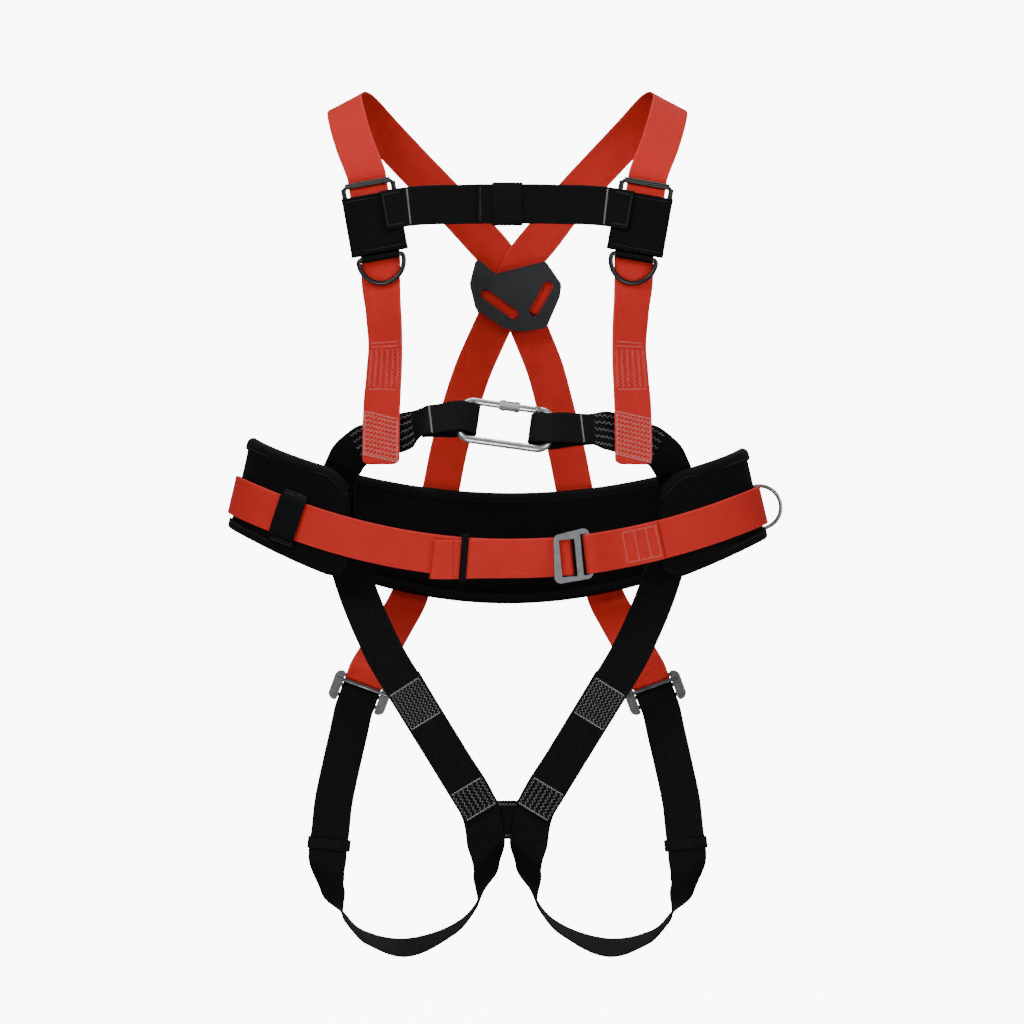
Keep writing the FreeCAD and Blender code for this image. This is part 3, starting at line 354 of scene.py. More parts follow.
def chest_route(side):
    bar = -ADJUSTER_PITCH
    loop = stations(chest_station, (
        (-32, -3.9), (-26, -3.9), (bar, -3.9), (bar + 2.75, -2.75), (bar + 3.9, 0),
        (bar + 2.75, 2.75), (bar, 3.9), (-27, 1.4), (-34, -0.6), (-44, -2.6), (-52, -3.0),
        (CHEST_RING_DROP, -3.0)))
    return at_side(loop + CHEST_ROUTE, side)


def chest_strap_route(side):
    front = LAYER_STEP + 0.1 if side == "right" else 0.0
    level = FORWARD * (SLEEVE_FRONT + 1.7)
    start = ADJUSTER_AT + CHEST_ACROSS * 12 - CHEST_UP * 15 + level
    seam = ADJUSTER_AT + CHEST_ACROSS * (SLEEVE_HALF_WIDTH + 2) - CHEST_UP * 15 + level
    return at_side([
        station(start, CHEST_UP), station(seam, CHEST_UP),
        (-92, CHEST_STRAP_Y, 75.5, -0.03, 0, 1),
        (-62, CHEST_STRAP_Y - front * 0.5, 76.2, 0.0, 0, 1),
        (-34, CHEST_STRAP_Y - front, CHEST_STRAP_Z, 0, 0, 1),
        (0, CHEST_STRAP_Y - front, CHEST_STRAP_Z, 0, 0, 1),
        (34, CHEST_STRAP_Y - front, CHEST_STRAP_Z, 0, 0, 1)], side)


def hip_route(side):
    sign = -1 if side == "left" else 1
    bar = CARABINER_HALF_LENGTH
    fold = 31.5 if side == "left" else 28.0
    profile = [(94, -3.4), (86, -3.5), (76, -4.6), (62, -7.0), (bar, -7.6), (fold + 7, -5.4),
               (fold + 1.6, -2.4), (fold, 0), (fold + 1.6, 2.4), (fold + 7, 5.4),
               (bar, 7.6), (62, 7.0), (76, 3.6), (90, 0.6)]
    eye = [eye_station(sign * x, face) for x, face in profile]
    return widened(eye, EYE_WIDTH) + widened(at_side(HIP_ROUTE, side), WEB_WIDTH)


def leg_route(side):
    diagonal = BAR_WRAP * 0.71
    buckle = stations(thigh_station, (
        (-24, 3.0), (-12, BAR_WRAP), (0, BAR_WRAP), (diagonal, diagonal), (BAR_WRAP, 0),
        (diagonal, -diagonal), (0, -BAR_WRAP), (-12, -BAR_WRAP), (-24, -2.9)))
    return at_side(LEG_ROUTE + buckle + LEG_TAIL_ROUTE, side)


def belt_route():
    out = BELT_GAP
    right_bar = BUCKLE_X + BUCKLE_HALF_WIDTH - 2
    level = BUCKLE_FRAME_OUT
    wrap = BUCKLE_FRAME_THICK / 2 + 1.7 + 1.25
    top = out + LAYER_STEP
    route = stations(front_station, (
        (171, top), (150, top), (128, top + 1.5), (108, level - 1),
        (right_bar + 6, level + wrap - 0.6), (right_bar, level + wrap),
        (right_bar - wrap * 0.75, level + wrap * 0.75), (right_bar - wrap, level),
        (right_bar - wrap * 0.75, level - wrap * 0.75), (right_bar, level - wrap),
        (right_bar + 8, level - wrap - 1.8), (124, out + 1.2), (146, out), (168, out)))
    first = front_angle(196)
    last = 360 + front_angle(-190)
    count = 26
    for i in range(count + 1):
        angle = first + (last - first) * i / count
        extra = BELT_OVER_STRAPS * max(0, sin(radians(angle))) ** 2
        route.append(belt_station(angle, out + extra))
    bar = BUCKLE_BAR_OUT
    turn = BUCKLE_BAR + 0.3 + 1.25
    middle = BUCKLE_X - 2
    turned = turn * 0.71
    route += stations(front_station, [(x, out) for x in (-150, -110, -70, -30, 10, 40)])
    return route + stations(front_station, (
        (middle - 8, bar - turn), (middle, bar - turn), (middle + turned, bar - turned),
        (middle + turn, bar), (middle + turned, bar + turned), (middle, bar + turn),
        (middle - 14, bar + turn - 2.2), (middle - 34, top + 0.3), (0, top), (-30, top, -1),
        (-56, top, -3.5), (-80, top, -6)))


# ---- mesh building ------------------------------------------------------------------
def new_object(name, verts, faces, material, uvs=None):
    """Mesh object from points in millimetres, with an optional UV for each corner."""
    mesh = bpy.data.meshes.new(name)
    mesh.from_pydata([tuple(v * MM) for v in verts], [], faces)
    if uvs:
        layer = mesh.uv_layers.new(name="web")
        flat = [value for face in uvs for corner in face for value in corner]
        layer.data.foreach_set("uv", flat)
    mesh.polygons.foreach_set("use_smooth", [True] * len(mesh.polygons))
    mesh.materials.append(material)
    obj = bpy.data.objects.new(name, mesh)
    bpy.context.scene.collection.objects.link(obj)
    return obj


def face_outwards(obj, cut_ends=False):
    """Turn every face outwards; the many-sided end faces can be cut into triangles."""
    bm = bmesh.new()
    bm.from_mesh(obj.data)
    if cut_ends:
        bmesh.ops.triangulate(bm, faces=[face for face in bm.faces if len(face.verts) > 4])
    bmesh.ops.recalc_face_normals(bm, faces=bm.faces)
    bm.to_mesh(obj.data)
    bm.free()


class Strap:
    """Stations of one webbing at even steps, for its mesh and for the stitches on it."""

    def __init__(self, route, width=WEB_WIDTH, step=2.5):
        spots = [Vec(st[:3]) for st in route]
        crosses = [Vec(st[3:6]).normalized() * (st[6] if len(st) > 6 else width)
                   for st in route]
        last = len(route) - 1
        centre = []
        cross = []
        for i in range(last):
            before = spots[i - 1] if i else spots[0] * 2 - spots[1]
            after = spots[i + 2] if i + 2 <= last else spots[last] * 2 - spots[last - 1]
            count = max(3, round((spots[i + 1] - spots[i]).length / step))
            for k in range(count):
                t = k / count
                ease = t * t * (3 - 2 * t)
                centre.append(hermite(before, spots[i], spots[i + 1], after, t))
                cross.append(crosses[i] * (1 - ease) + crosses[i + 1] * ease)
        centre.append(spots[last])
        cross.append(crosses[last])
        self.centre = centre
        self.side = []
        self.face = []
        self.width = []
        self.along = [0.0]
        end = len(centre) - 1
        for i in range(end + 1):
            ahead = (centre[min(i + 1, end)] - centre[max(i - 1, 0)]).normalized()
            side = (cross[i] - ahead * cross[i].dot(ahead)).normalized()
            self.side.append(side)
            self.face.append(ahead.cross(side))
            self.width.append(cross[i].length)
            if i:
                self.along.append(self.along[-1] + (centre[i] - centre[i - 1]).length)
        self.length = self.along[-1]

    def find(self, point, first=0.0, last=None):
        """Distance along the strap nearest to a place, between two distances."""
        last = self.length if last is None else last
        best = min((i for i, u in enumerate(self.along) if first <= u <= last),
                   key=lambda i: (self.centre[i] - point).length)
        return self.along[best]

    def at(self, u, v, lift):
        """Place u along and v across the strap, lifted from its middle surface."""
        u = min(max(u, 0.0), self.length)
        low, high = 0, len(self.along) - 1
        while high - low > 1:
            middle = (low + high) // 2
            if self.along[middle] <= u:
                low = middle
            else:
                high = middle
        span = self.along[high] - self.along[low]
        t = (u - self.along[low]) / span if span else 0
        mix = lambda values: values[low] * (1 - t) + values[high] * t
        return mix(self.centre) + mix(self.side) * v + mix(self.face) * lift


# Half of the webbing's section: share of the half width, share of the half thickness.
SECTION = ((1.0, 0.0), (0.99, 0.55), (0.965, 0.86), (0.93, 1.0), (0.8, 0.93), (0.5, 0.95),
           (0.0, 1.0))


def ring_section(half_width, half_thick):
    right = [(half_width * a, half_thick * b) for a, b in SECTION]
    left = [(-a, b) for a, b in reversed(right[:-1])]
    top = right + left
    bottom = [(a, -b) for a, b in reversed(top[1:-1])]
    return top + bottom


def webbing(name, strap, material, nodes=(), thick=WEB_THICK, round_end=0.0):
    """Woven strap with soft selvedges; UV runs along and across it in metres."""
    verts = []
    faces = []
    uvs = []
    section = ring_section(1.0, thick / 2)
    sides = len(section)
    for i, centre in enumerate(strap.centre):
        half = strap.width[i] / 2
        to_end = strap.length - strap.along[i]
        if to_end < round_end:
            half += -round_end + sqrt(max(0.0, round_end ** 2 - (round_end - to_end) ** 2))
        wave = 0.12 * sin(strap.along[i] / 23.0) * sin(strap.along[i] / 61.0 + 1.3)
        for a, b in section:
            verts.append(centre + strap.side[i] * (a * half)
                         + strap.face[i] * (b + wave * (1 - a * a)))
    for i in range(len(strap.centre) - 1):
        u0 = strap.along[i] * MM
        u1 = strap.along[i + 1] * MM
        for k in range(sides):
            nxt = (k + 1) % sides
            faces.append((i * sides + k, i * sides + nxt,
                          (i + 1) * sides + nxt, (i + 1) * sides + k))
            v0 = section[k][0] * strap.width[i] / 2 * MM
            v1 = section[nxt][0] * strap.width[i] / 2 * MM
            uvs.append(((u0, v0), (u0, v1), (u1, v1), (u1, v0)))
    last = (len(strap.centre) - 1) * sides
    faces.append(tuple(range(sides - 1, -1, -1)))
    uvs.append(tuple((0.0, section[k][0] * 0.02) for k in range(sides - 1, -1, -1)))
    faces.append(tuple(last + k for k in range(sides)))
    uvs.append(tuple((strap.length * MM, section[k][0] * 0.02) for k in range(sides)))
    obj = new_object(name, verts, faces, material, uvs)
    face_outwards(obj)
    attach(obj, ROOT)
    if nodes:
        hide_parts(*nodes)
        node_slot(nodes[0])
    return obj


def node_slot(node):
    return next(part["material_slot"] for part in frame["record"]["subparts"]
                if part["node"] == node)


def thread(verts, faces, points, normals, radius):
    """Add a thin tube along points to growing vertex and face lists."""
    sides = 5
    start = len(verts)
    end = len(points) - 1
    for i, point in enumerate(points):
        ahead = points[min(i + 1, end)] - points[max(i - 1, 0)]
        ahead = ahead.normalized() if ahead.length > 1e-9 else Vec((0, 0, 1))
        up = normals[i] - ahead * normals[i].dot(ahead)
        up = up.normalized() if up.length > 1e-6 else ahead.orthogonal().normalized()
        across = ahead.cross(up)
        for k in range(sides):
            turn = 2 * pi * k / sides
            verts.append(point + across * (cos(turn) * radius) + up * (sin(turn) * radius))
    for i in range(end):
        for k in range(sides):
            nxt = (k + 1) % sides
            a = start + i * sides
            b = a + sides
            faces.append((a + k, b + k, b + nxt, a + nxt))
    faces.append(tuple(start + k for k in range(sides)))
    faces.append(tuple(start + end * sides + k for k in range(sides - 1, -1, -1)))


class Stitching:
    """Sewing thread on a strap: each stitch is a short arch that dives into the cloth."""

    def __init__(self, name, material, radius):
        self.name = name
        self.material = material
        self.radius = radius
        self.verts = []
        self.faces = []

    def stitch(self, strap, start, end, top, face=1):
        """One stitch from start to end, each (u, v), over a surface at height top."""
        points = []
        normals = []
        count = 6
        for i in range(count + 1):
            t = i / count
            u = start[0] + (end[0] - start[0]) * t
            v = start[1] + (end[1] - start[1]) * t
            lift = top - 0.35 + 0.62 * sin(pi * t) ** 0.6
            base = strap.at(u, v, 0)
            raised = strap.at(u, v, face * lift)
            points.append(raised)
            normals.append((raised - base).normalized())
        thread(self.verts, self.faces, points, normals, self.radius)

    def seam(self, strap, start, end, top, face=1, pitch=3.6, gap=0.7):
        """Straight lockstitch from start to end."""
        length = sqrt((end[0] - start[0]) ** 2 + (end[1] - start[1]) ** 2)
        count = max(1, round(length / pitch))
        for i in range(count):
            a = (i * pitch + gap / 2) / (count * pitch)
            b = ((i + 1) * pitch - gap / 2) / (count * pitch)
            self.stitch(strap,
                        (start[0] + (end[0] - start[0]) * a, start[1] + (end[1] - start[1]) * a),
                        (start[0] + (end[0] - start[0]) * b, start[1] + (end[1] - start[1]) * b),
                        top, face)

    def finish(self):
        obj = new_object(self.name, self.verts, self.faces, self.material)
        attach(obj, ROOT)


# ---- materials ------------------------------------------------------------------------
YARN = 1.35e-3              # width of one warp yarn
PICK = 1.9e-3               # length of one raised float
SELVEDGE = 2.2e-3
KNURL = 1.6e-3              # pitch of the screw sleeve's knurl
BRUSHED = (60.0, 900.0, 900.0)


class Paint:
    """One procedural material: its shader, and the nodes that feed it."""

    def __init__(self, name):
        self.material = bpy.data.materials.new(name)
        self.material.use_nodes = True
        self.nodes = self.material.node_tree.nodes
        self.nodes.clear()
        self.shader = self.node("BsdfPrincipled")
        self.feed(self.node("OutputMaterial"), "Surface", self.shader.outputs["BSDF"])

    def feed(self, node, name, value):
        """Set one input of a node to a number or a colour, or link it to an output."""
        socket = node.inputs[name]
        if isinstance(value, bpy.types.NodeSocket):
            self.material.node_tree.links.new(value, socket)
        elif isinstance(value, tuple) and len(socket.default_value) == 4:
            socket.default_value = value + (1.0,)
        else:
            socket.default_value = value

    def node(self, kind, inputs=(), **settings):
        made = self.nodes.new("ShaderNode" + kind)
        for name, value in settings.items():
            setattr(made, name, value)
        for name, value in inputs:
            self.feed(made, name, value)
        return made

    def shade(self, inputs):
        for name, value in inputs.items():
            self.feed(self.shader, name, value)

    def place(self):
        return self.node("TexCoord").outputs["Object"]

    def split(self, value):
        return self.node("SeparateXYZ", ((0, value),)).outputs

    def do(self, operation, *values):
        return self.node("Math", enumerate(values), operation=operation).outputs[0]

    def noise(self, place, scale, detail):
        inputs = (("Scale", scale), ("Detail", detail), ("Roughness", 0.55), ("Vector", place))
        return self.node("TexNoise", inputs).outputs["Fac"]

    def mix(self, factor, first, second):
        inputs = ((0, factor), (6, first), (7, second))
        return self.node("Mix", inputs, data_type="RGBA").outputs[2]

    def ramp(self, value, low, high, to_low, to_high):
        inputs = (("Value", value), ("From Min", low), ("From Max", high),
                  ("To Min", to_low), ("To Max", to_high))
        return self.node("MapRange", inputs).outputs["Result"]

    def bump(self, height, distance, strength):
        inputs = (("Distance", distance), ("Strength", strength), ("Height", height))
        self.shade({"Normal": self.node("Bump", inputs).outputs["Normal"]})


def webbing_material(name, base, groove_shade, light, roughness, sheen, half_width=0.022):
    """Woven polyester: columns of slanted floats, a plain selvedge and slight soiling; painted shade
    in the grooves, painted highlight on the floats and selvedges.
    """
    paint = Paint(name)
    do, ramp, mix = paint.do, paint.ramp, paint.mix
    u, v, _ = paint.split(paint.node("UVMap", uv_map="web").outputs["UV"])
    column = do("DIVIDE", v, YARN)
    off_centre = do("SUBTRACT", do("FRACT", column), 0.5)
    yarn = do("SUBTRACT", 1.0, do("POWER", do("MULTIPLY", do("ABSOLUTE", off_centre), 2.0), 2.2))
    odd = do("MODULO", do("FLOOR", do("ADD", column, 400.0)), 2.0)
    slant = do("MULTIPLY", off_centre, do("SUBTRACT", do("MULTIPLY", odd, 2.0), 1.0))
    pick = do("FRACT", do("ADD", do("DIVIDE", u, PICK), do("MULTIPLY", slant, 0.9)))
    floats = do("SINE", do("MULTIPLY", pick, pi))
    weave = do("MULTIPLY", yarn, do("ADD", do("MULTIPLY", floats, 0.6), 0.4))
    edge = ramp(do("ABSOLUTE", v), half_width - SELVEDGE, half_width - SELVEDGE * 0.6, 0.0, 1.0)
    place = paint.place()
    fine = paint.noise(place, 900.0, 2.0)
    fuzz = paint.noise(place, 2600.0, 1.0)
    tone = ramp(paint.noise(place, 14.0, 3.0), 0.3, 0.7, 0.0, 1.0)
    plain = mix(tone, base, tuple(c * 0.86 for c in base))
    # Painted shade: the grooves between the yarns are darkened towards the groove shade colour.
    shaded_grooves = mix(ramp(weave, 0.1, 0.75, 0.72, 0.0), plain, groove_shade)
    # Painted highlight: the tops of the raised floats are lightened towards the light colour.
    lit = mix(do("MULTIPLY", ramp(weave, 0.7, 1.0, 0.0, 0.35), fine), shaded_grooves, light)
    # Painted highlight: the selvedges are lightened; the same edge mask also flattens the weave's
    # bump there.
    paint.shade({"Base Color": mix(do("MULTIPLY", edge, 0.22), lit, light),
                 "Roughness": ramp(fine, 0.3, 0.7, roughness - 0.06, roughness + 0.08),
                 "Sheen Weight": sheen, "Sheen Roughness": 0.45, "Sheen Tint": light,
                 "Specular IOR Level": 0.14})
    ridges = do("MULTIPLY", weave, do("SUBTRACT", 1.0, do("MULTIPLY", edge, 0.5)))
    paint.bump(do("ADD", ridges, do("MULTIPLY", fuzz, 0.25)), 0.00022, 0.75)
    return paint.material


def cloth_material(name, base, light, roughness, thread_size):
    """Close plain-weave cover cloth."""
    paint = Paint(name)
    do, ramp = paint.do, paint.ramp
    place = paint.place()
    x, y, z = paint.split(place)
    wave = lambda value: do("SINE", do("MULTIPLY", value, 2 * pi / thread_size))
    broad = paint.noise(place, 22.0, 4.0)
    paint.shade({"Base Color": paint.mix(ramp(broad, 0.35, 0.7, 0.0, 1.0), base, light),
                 "Roughness": ramp(broad, 0.3, 0.7, roughness - 0.05, roughness + 0.06),
                 "Specular IOR Level": 0.12})
    weave = do("MULTIPLY", wave(do("ADD", x, y)), wave(z))
    paint.bump(do("ADD", weave, paint.noise(place, 1800.0, 2.0)), 0.00012, 0.5)
    return paint.material


def metal_material(name, base, dull, roughness):
    """Plated steel with fine brushed scratches, cloudy plating and dull patches."""
    paint = Paint(name)
    ramp = paint.ramp
    place = paint.place()
    grain = paint.node("Mapping", (("Scale", BRUSHED), ("Vector", place))).outputs["Vector"]
    lines = paint.noise(grain, 1.0, 3.0)
    cloud = paint.noise(place, 120.0, 4.0)
    paint.shade({"Base Color": paint.mix(ramp(cloud, 0.35, 0.7, 0.0, 1.0), base, dull),
                 "Metallic": 1.0,
                 "Roughness": paint.do("ADD", ramp(cloud, 0.3, 0.7, roughness - 0.06,
                                                   roughness + 0.1),
                                       ramp(lines, 0.4, 0.7, 0.0, 0.12))})
    paint.bump(lines, 0.00004, 0.3)
    return paint.material


def coated_material(name, base, light, roughness, coat):
    """Black coated steel or moulded plastic with a fine orange-peel surface."""
    paint = Paint(name)
    ramp = paint.ramp
    place = paint.place()
    cloud = paint.noise(place, 40.0, 4.0)
    worn = ramp(paint.node("NewGeometry").outputs["Pointiness"], 0.53, 0.62, 0.0, 0.5)
    tone = paint.mix(ramp(cloud, 0.3, 0.7, 0.0, 0.4), base, light)
    paint.shade({"Base Color": paint.mix(worn, tone, light),
                 "Roughness": ramp(cloud, 0.3, 0.7, roughness - 0.06, roughness + 0.08),
                 "Coat Weight": coat, "Coat Roughness": 0.3})
    paint.bump(paint.noise(place, 700.0, 2.0), 0.0001, 0.35)
    return paint.material


def knurled_material(name, base):
    """Diamond knurl cut round the screw sleeve."""
    paint = Paint(name)
    do = paint.do
    x, y, z = paint.split(paint.place())
    slope = do("ADD", y, z)
    cuts = [do("SINE", do("MULTIPLY", do(way, x, slope), 2 * pi / KNURL))
            for way in ("ADD", "SUBTRACT")]
    paint.shade({"Base Color": base, "Metallic": 1.0, "Roughness": 0.34})
    paint.bump(do("ADD", *cuts), 0.0002, 0.7)
    return paint.material


def thread_material(name, base):
    paint = Paint(name)
    fibres = paint.noise(paint.place(), 4000.0, 1.0)
    paint.shade({"Base Color": paint.mix(fibres, base, tuple(c * 0.72 for c in base)),
                 "Roughness": 0.55, "Sheen Weight": 0.2})
    paint.bump(fibres, 0.00008, 0.4)
    return paint.material


# The second colour of each webbing is painted shade for the grooves between yarns; the third is
# painted highlight for the raised floats and selvedges, and the sheen tint.
RED = webbing_material("red_web", (0.76, 0.032, 0.025), (0.43, 0.014, 0.011),
                       (0.94, 0.095, 0.075), 0.66, 0.02)
BLACK = webbing_material("black_web", (0.0028, 0.0028, 0.0031), (0.0010, 0.0010, 0.0011),
                         (0.014, 0.015, 0.017), 0.7, 0.0)
SLEEVE = cloth_material("sleeve_cloth_mat", (0.0022, 0.0022, 0.0024), (0.0036, 0.0036, 0.004),
                        0.72, 0.0012)
ELASTIC = webbing_material("elastic_web", (0.003, 0.003, 0.0033), (0.001, 0.001, 0.001),
                           (0.014, 0.014, 0.016), 0.66, 0.0, 0.03)
PAD = cloth_material("pad_cloth_mat", (0.0016, 0.0016, 0.0018), (0.0028, 0.0028, 0.0032),
                     0.78, 0.0010)
BINDING = webbing_material("binding_tape", (0.0022, 0.0022, 0.0024), (0.001, 0.001, 0.001),
                           (0.010, 0.010, 0.012), 0.68, 0.0, 0.03)
PLATE = coated_material("plate_plastic_mat", (0.0075, 0.0098, 0.0125), (0.016, 0.020, 0.025),
                        0.46, 0.04)
BLACK_STEEL = coated_material("black_steel_mat", (0.0035, 0.0035, 0.004), (0.020, 0.020, 0.022),
                              0.36, 0.12)
PLATED = metal_material("plated_steel_mat", (0.15, 0.155, 0.165), (0.09, 0.092, 0.10), 0.34)
ALLOY = metal_material("cast_alloy_mat", (0.42, 0.44, 0.46), (0.28, 0.295, 0.32), 0.38)
CARABINER = metal_material("carabiner_steel_mat", (0.62, 0.62, 0.64), (0.45, 0.45, 0.48), 0.26)
RING_STEEL = metal_material("ring_steel_mat", (0.46, 0.44, 0.45), (0.32, 0.30, 0.31), 0.3)
KNURLED = knurled_material("knurled_steel_mat", (0.55, 0.55, 0.58))
RED_THREAD = thread_material("red_thread", (1.0, 0.20, 0.17))
PALE_THREAD = thread_material("pale_thread", (0.86, 0.38, 0.35))
GREY_THREAD = thread_material("grey_thread", (0.23, 0.24, 0.25))
PALE_GREY_THREAD = thread_material("pale_grey_thread", (0.42, 0.43, 0.44))
BLACK_THREAD = thread_material("black_thread", (0.020, 0.021, 0.023))

NODE_FINISH = {
    "dorsal_plate": PLATE, "dorsal_d_ring": BLACK_STEEL,
    "chest_adjuster_left": BLACK_STEEL, "chest_adjuster_right": BLACK_STEEL,
    "chest_d_ring_left": BLACK_STEEL, "chest_d_ring_right": BLACK_STEEL,
    "side_d_ring_left": RING_STEEL, "side_d_ring_right": RING_STEEL,
    "thigh_buckle_left": PLATED, "thigh_buckle_right": PLATED,
    "belt_buckle_frame": ALLOY, "belt_buckle_bar": PLATED,
    "carabiner_body": CARABINER, "carabiner_gate": CARABINER,
    "carabiner_gate_pin": CARABINER, "carabiner_gate_spring": PLATED,
    "carabiner_screw_sleeve": KNURLED,
}
for node, finish in NODE_FINISH.items():
    node_mesh = frame["nodes"][node].data
    for i in range(len(node_mesh.materials)):
        node_mesh.materials[i] = finish

# ---- straps -----------------------------------------------------------------------------
FLIP = {"left": 1, "right": -1}
SIDES = tuple(FLIP)
straps = {}


def strap_piece(name, route, mat, width=WEB_WIDTH, **options):
    straps[name] = Strap(route, width)
    return webbing(name + "_webbing", straps[name], mat, (name,), **options)


for side in SIDES:
    strap_piece("shoulder_strap_" + side, shoulder_route(side), RED)
    strap_piece("chest_webbing_" + side, chest_route(side), RED, round_end=7.0)
    strap_piece("chest_strap_" + side, chest_strap_route(side), BLACK)
    strap_piece("hip_strap_" + side, hip_route(side), BLACK)
    strap_piece("leg_strap_" + side, leg_route(side), BLACK, round_end=3.0)
strap_piece("waist_belt", belt_route(), RED, round_end=2.0)
for lining, top, bottom in (("left", (-31, -5.5), (12, -37)), ("right", (53.5, 10), (30, -32.5))):
    route = [(x, LINING_Y + 0.3 * (lining == "left"), z, 0.66, 0, 0.72 * (-1) ** (lining == "right"))
             for x, z in (top, bottom)]
    webbing("dorsal_lining_%s_webbing" % lining, Strap(route, 15.0), RED,
            ("dorsal_plate_lining",), thick=0.8)
strap_piece("crotch_patch", [(0, -151, -596, 1, 0, 0), (0, -147, -618, 1, 0, 0),
                             (0, -143, -640, 1, 0, 0)], BLACK, width=52, round_end=4.0)

# ---- chest sleeve: a soft tube of cloth round the adjuster's lower half --------------------
SLEEVE_ROWS = 44
SLEEVE_SIDES = 56


def rounded_box_point(turn, half_x, half_y, power):
    """Point on a superellipse, a box with soft corners."""
    c, s = cos(turn), sin(turn)
    x = half_x * abs(c) ** (2 / power) * (1 if c >= 0 else -1)
    y = half_y * abs(s) ** (2 / power) * (1 if s >= 0 else -1)
    return x, y


def chest_sleeve(side):
    half_x = SLEEVE_HALF_WIDTH - 0.2
    half_y = (SLEEVE_FRONT - SLEEVE_BACK) / 2 - 0.2
    middle = (SLEEVE_FRONT + SLEEVE_BACK) / 2
    mirror = FLIP[side]
    verts = []
    faces = []
    for layer, wall in ((0, 0.0), (1, SLEEVE_WALL)):
        for row in range(SLEEVE_ROWS + 1):
            t = row / SLEEVE_ROWS
            height = SLEEVE_TOP + (SLEEVE_BOTTOM - SLEEVE_TOP) * t
            hem = 0.5 * (cos(pi * min(1.0, min(t, 1 - t) * 9)) * 0.5 - 0.5)
            for k in range(SLEEVE_SIDES):
                turn = 2 * pi * k / SLEEVE_SIDES
                x, y = rounded_box_point(turn, half_x + hem * 0.6 - wall, half_y + hem - wall, 7.0)
                ripple = 0.35 * sin(x / 6.5 + 3.2 * t) * sin(pi * t) * (1 - abs(x) / 40)
                y += ripple * (1 if y > 0 else 0) - 0.35 * sin(pi * t) * (1 if y > 0 else -1)
                at = (ADJUSTER_AT + CHEST_ACROSS * x + CHEST_UP * height
                      + FORWARD * (y + middle))
                verts.append(Vec((at.x * mirror, at.y, at.z)))
    ring = SLEEVE_SIDES
    layer_size = (SLEEVE_ROWS + 1) * ring
    for layer in (0, 1):
        for row in range(SLEEVE_ROWS):
            for k in range(ring):
                nxt = (k + 1) % ring
                a = layer * layer_size + row * ring
                quad = (a + k, a + nxt, a + ring + nxt, a + ring + k)
                faces.append(quad if layer else quad[::-1])
    for row in (0, SLEEVE_ROWS):
        for k in range(ring):
            nxt = (k + 1) % ring
            a = row * ring
            b = layer_size + a
            faces.append((a + k, a + nxt, b + nxt, b + k))
    obj = new_object("chest_sleeve_%s_cloth" % side, verts, faces, SLEEVE)
    face_outwards(obj)
    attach(obj, ROOT)
    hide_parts("chest_sleeve_" + side)
    return obj


for side in SIDES:
    chest_sleeve(side)


# ---- loops and keepers: flat bands closed round the straps ---------------------------------
def band_route(at, across, out, half_width, half_depth, corner):
    """Closed route round a strap: across it on the front, back under it."""
    points = []
    for sx, sy in ((1, 1), (-1, 1), (-1, -1), (1, -1)):
        for k in range(4):
            turn = pi / 2 * (k / 3) + {(1, 1): 0, (-1, 1): pi / 2, (-1, -1): pi,
                                       (1, -1): 3 * pi / 2}[(sx, sy)]
            points.append(at + across * (sx * (half_width - corner) + corner * cos(turn))
                          + out * (sy * (half_depth - corner) + corner * sin(turn)))
    return points


def band_piece(name, at, across, out, half_width, half_depth, height, wall, mat, node, body):
    """Elastic or webbing band of even wall, its edges softened."""
    axis = across.cross(out).normalized()
    inner = band_route(at, across, out, half_width, half_depth, min(1.4, half_depth - 0.1))
    outer = band_route(at, across, out, half_width + wall, half_depth + wall,
                       min(1.4, half_depth - 0.1) + wall)
    count = len(inner)
    length = [0.0]
    for i in range(count):
        length.append(length[-1] + (outer[(i + 1) % count] - outer[i]).length)
    profile = [(0.0, -1.0), (0.5, -1.0), (0.88, -0.97), (1.0, -0.9), (1.0, 0.9),
               (0.88, 0.97), (0.5, 1.0), (0.0, 1.0), (0.0, 0.0)]
    verts = []
    faces = []
    uvs = []
    for i in range(count):
        for share, level in profile:
            verts.append(inner[i].lerp(outer[i], share) + axis * (level * height / 2))
    rows = len(profile)
    for i in range(count):
        nxt = (i + 1) % count
        for k in range(rows):
            up = (k + 1) % rows
            faces.append((i * rows + k, nxt * rows + k, nxt * rows + up, i * rows + up))
            v0 = profile[k][1] * height / 2 * MM
            v1 = profile[up][1] * height / 2 * MM
            u0 = length[i] * MM
            u1 = length[i + 1] * MM
            uvs.append(((u0, v0), (u1, v0), (u1, v1), (u0, v1)))
    obj = new_object(name, verts, faces, mat, uvs)
    face_outwards(obj)
    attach(obj, body)
    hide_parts(node)
    return obj


KEEPER_WALL = 1.5
BELT_KEEPER_X = -48
Z_AXIS = Vec((0, 0, 1))
band_piece("chest_keeper_elastic",
           Vec((0, CHEST_STRAP_Y - LAYER_STEP / 2 - 0.05, CHEST_STRAP_Z)), Z_AXIS, FORWARD,
           WEB_WIDTH / 2 + 0.55, LAYER_STEP + 0.15, 2 * CHEST_KEEPER_HALF, KEEPER_WALL,
           ELASTIC, "chest_keeper", "chest_keeper_body")
_, keeper_across, keeper_out = belt_frame(front_angle(BELT_KEEPER_X))
band_piece("belt_keeper_elastic",
           belt_point(front_angle(BELT_KEEPER_X), BELT_GAP + LAYER_STEP / 2, -1.5),
           keeper_across, keeper_out, WEB_WIDTH / 2 + 3.25, LAYER_STEP + 0.45, 8.0, KEEPER_WALL,
           ELASTIC, "belt_keeper", "belt_keeper_body")
KEEPER_AXIS = Vec((0.109, 0, 0.994)).normalized()
for side in SIDES:
    flip = FLIP[side]
    band_piece("leg_keeper_%s_elastic" % side, Vec((-205.3 * flip, -110.55, -649)),
               Vec((KEEPER_AXIS.z * flip, 0, -KEEPER_AXIS.x)), FORWARD,
               WEB_WIDTH / 2 + 1.25, LAYER_STEP + 0.95, 13.0, KEEPER_WALL,
               ELASTIC, "leg_keeper_" + side, "leg_keeper_%s_body" % side)


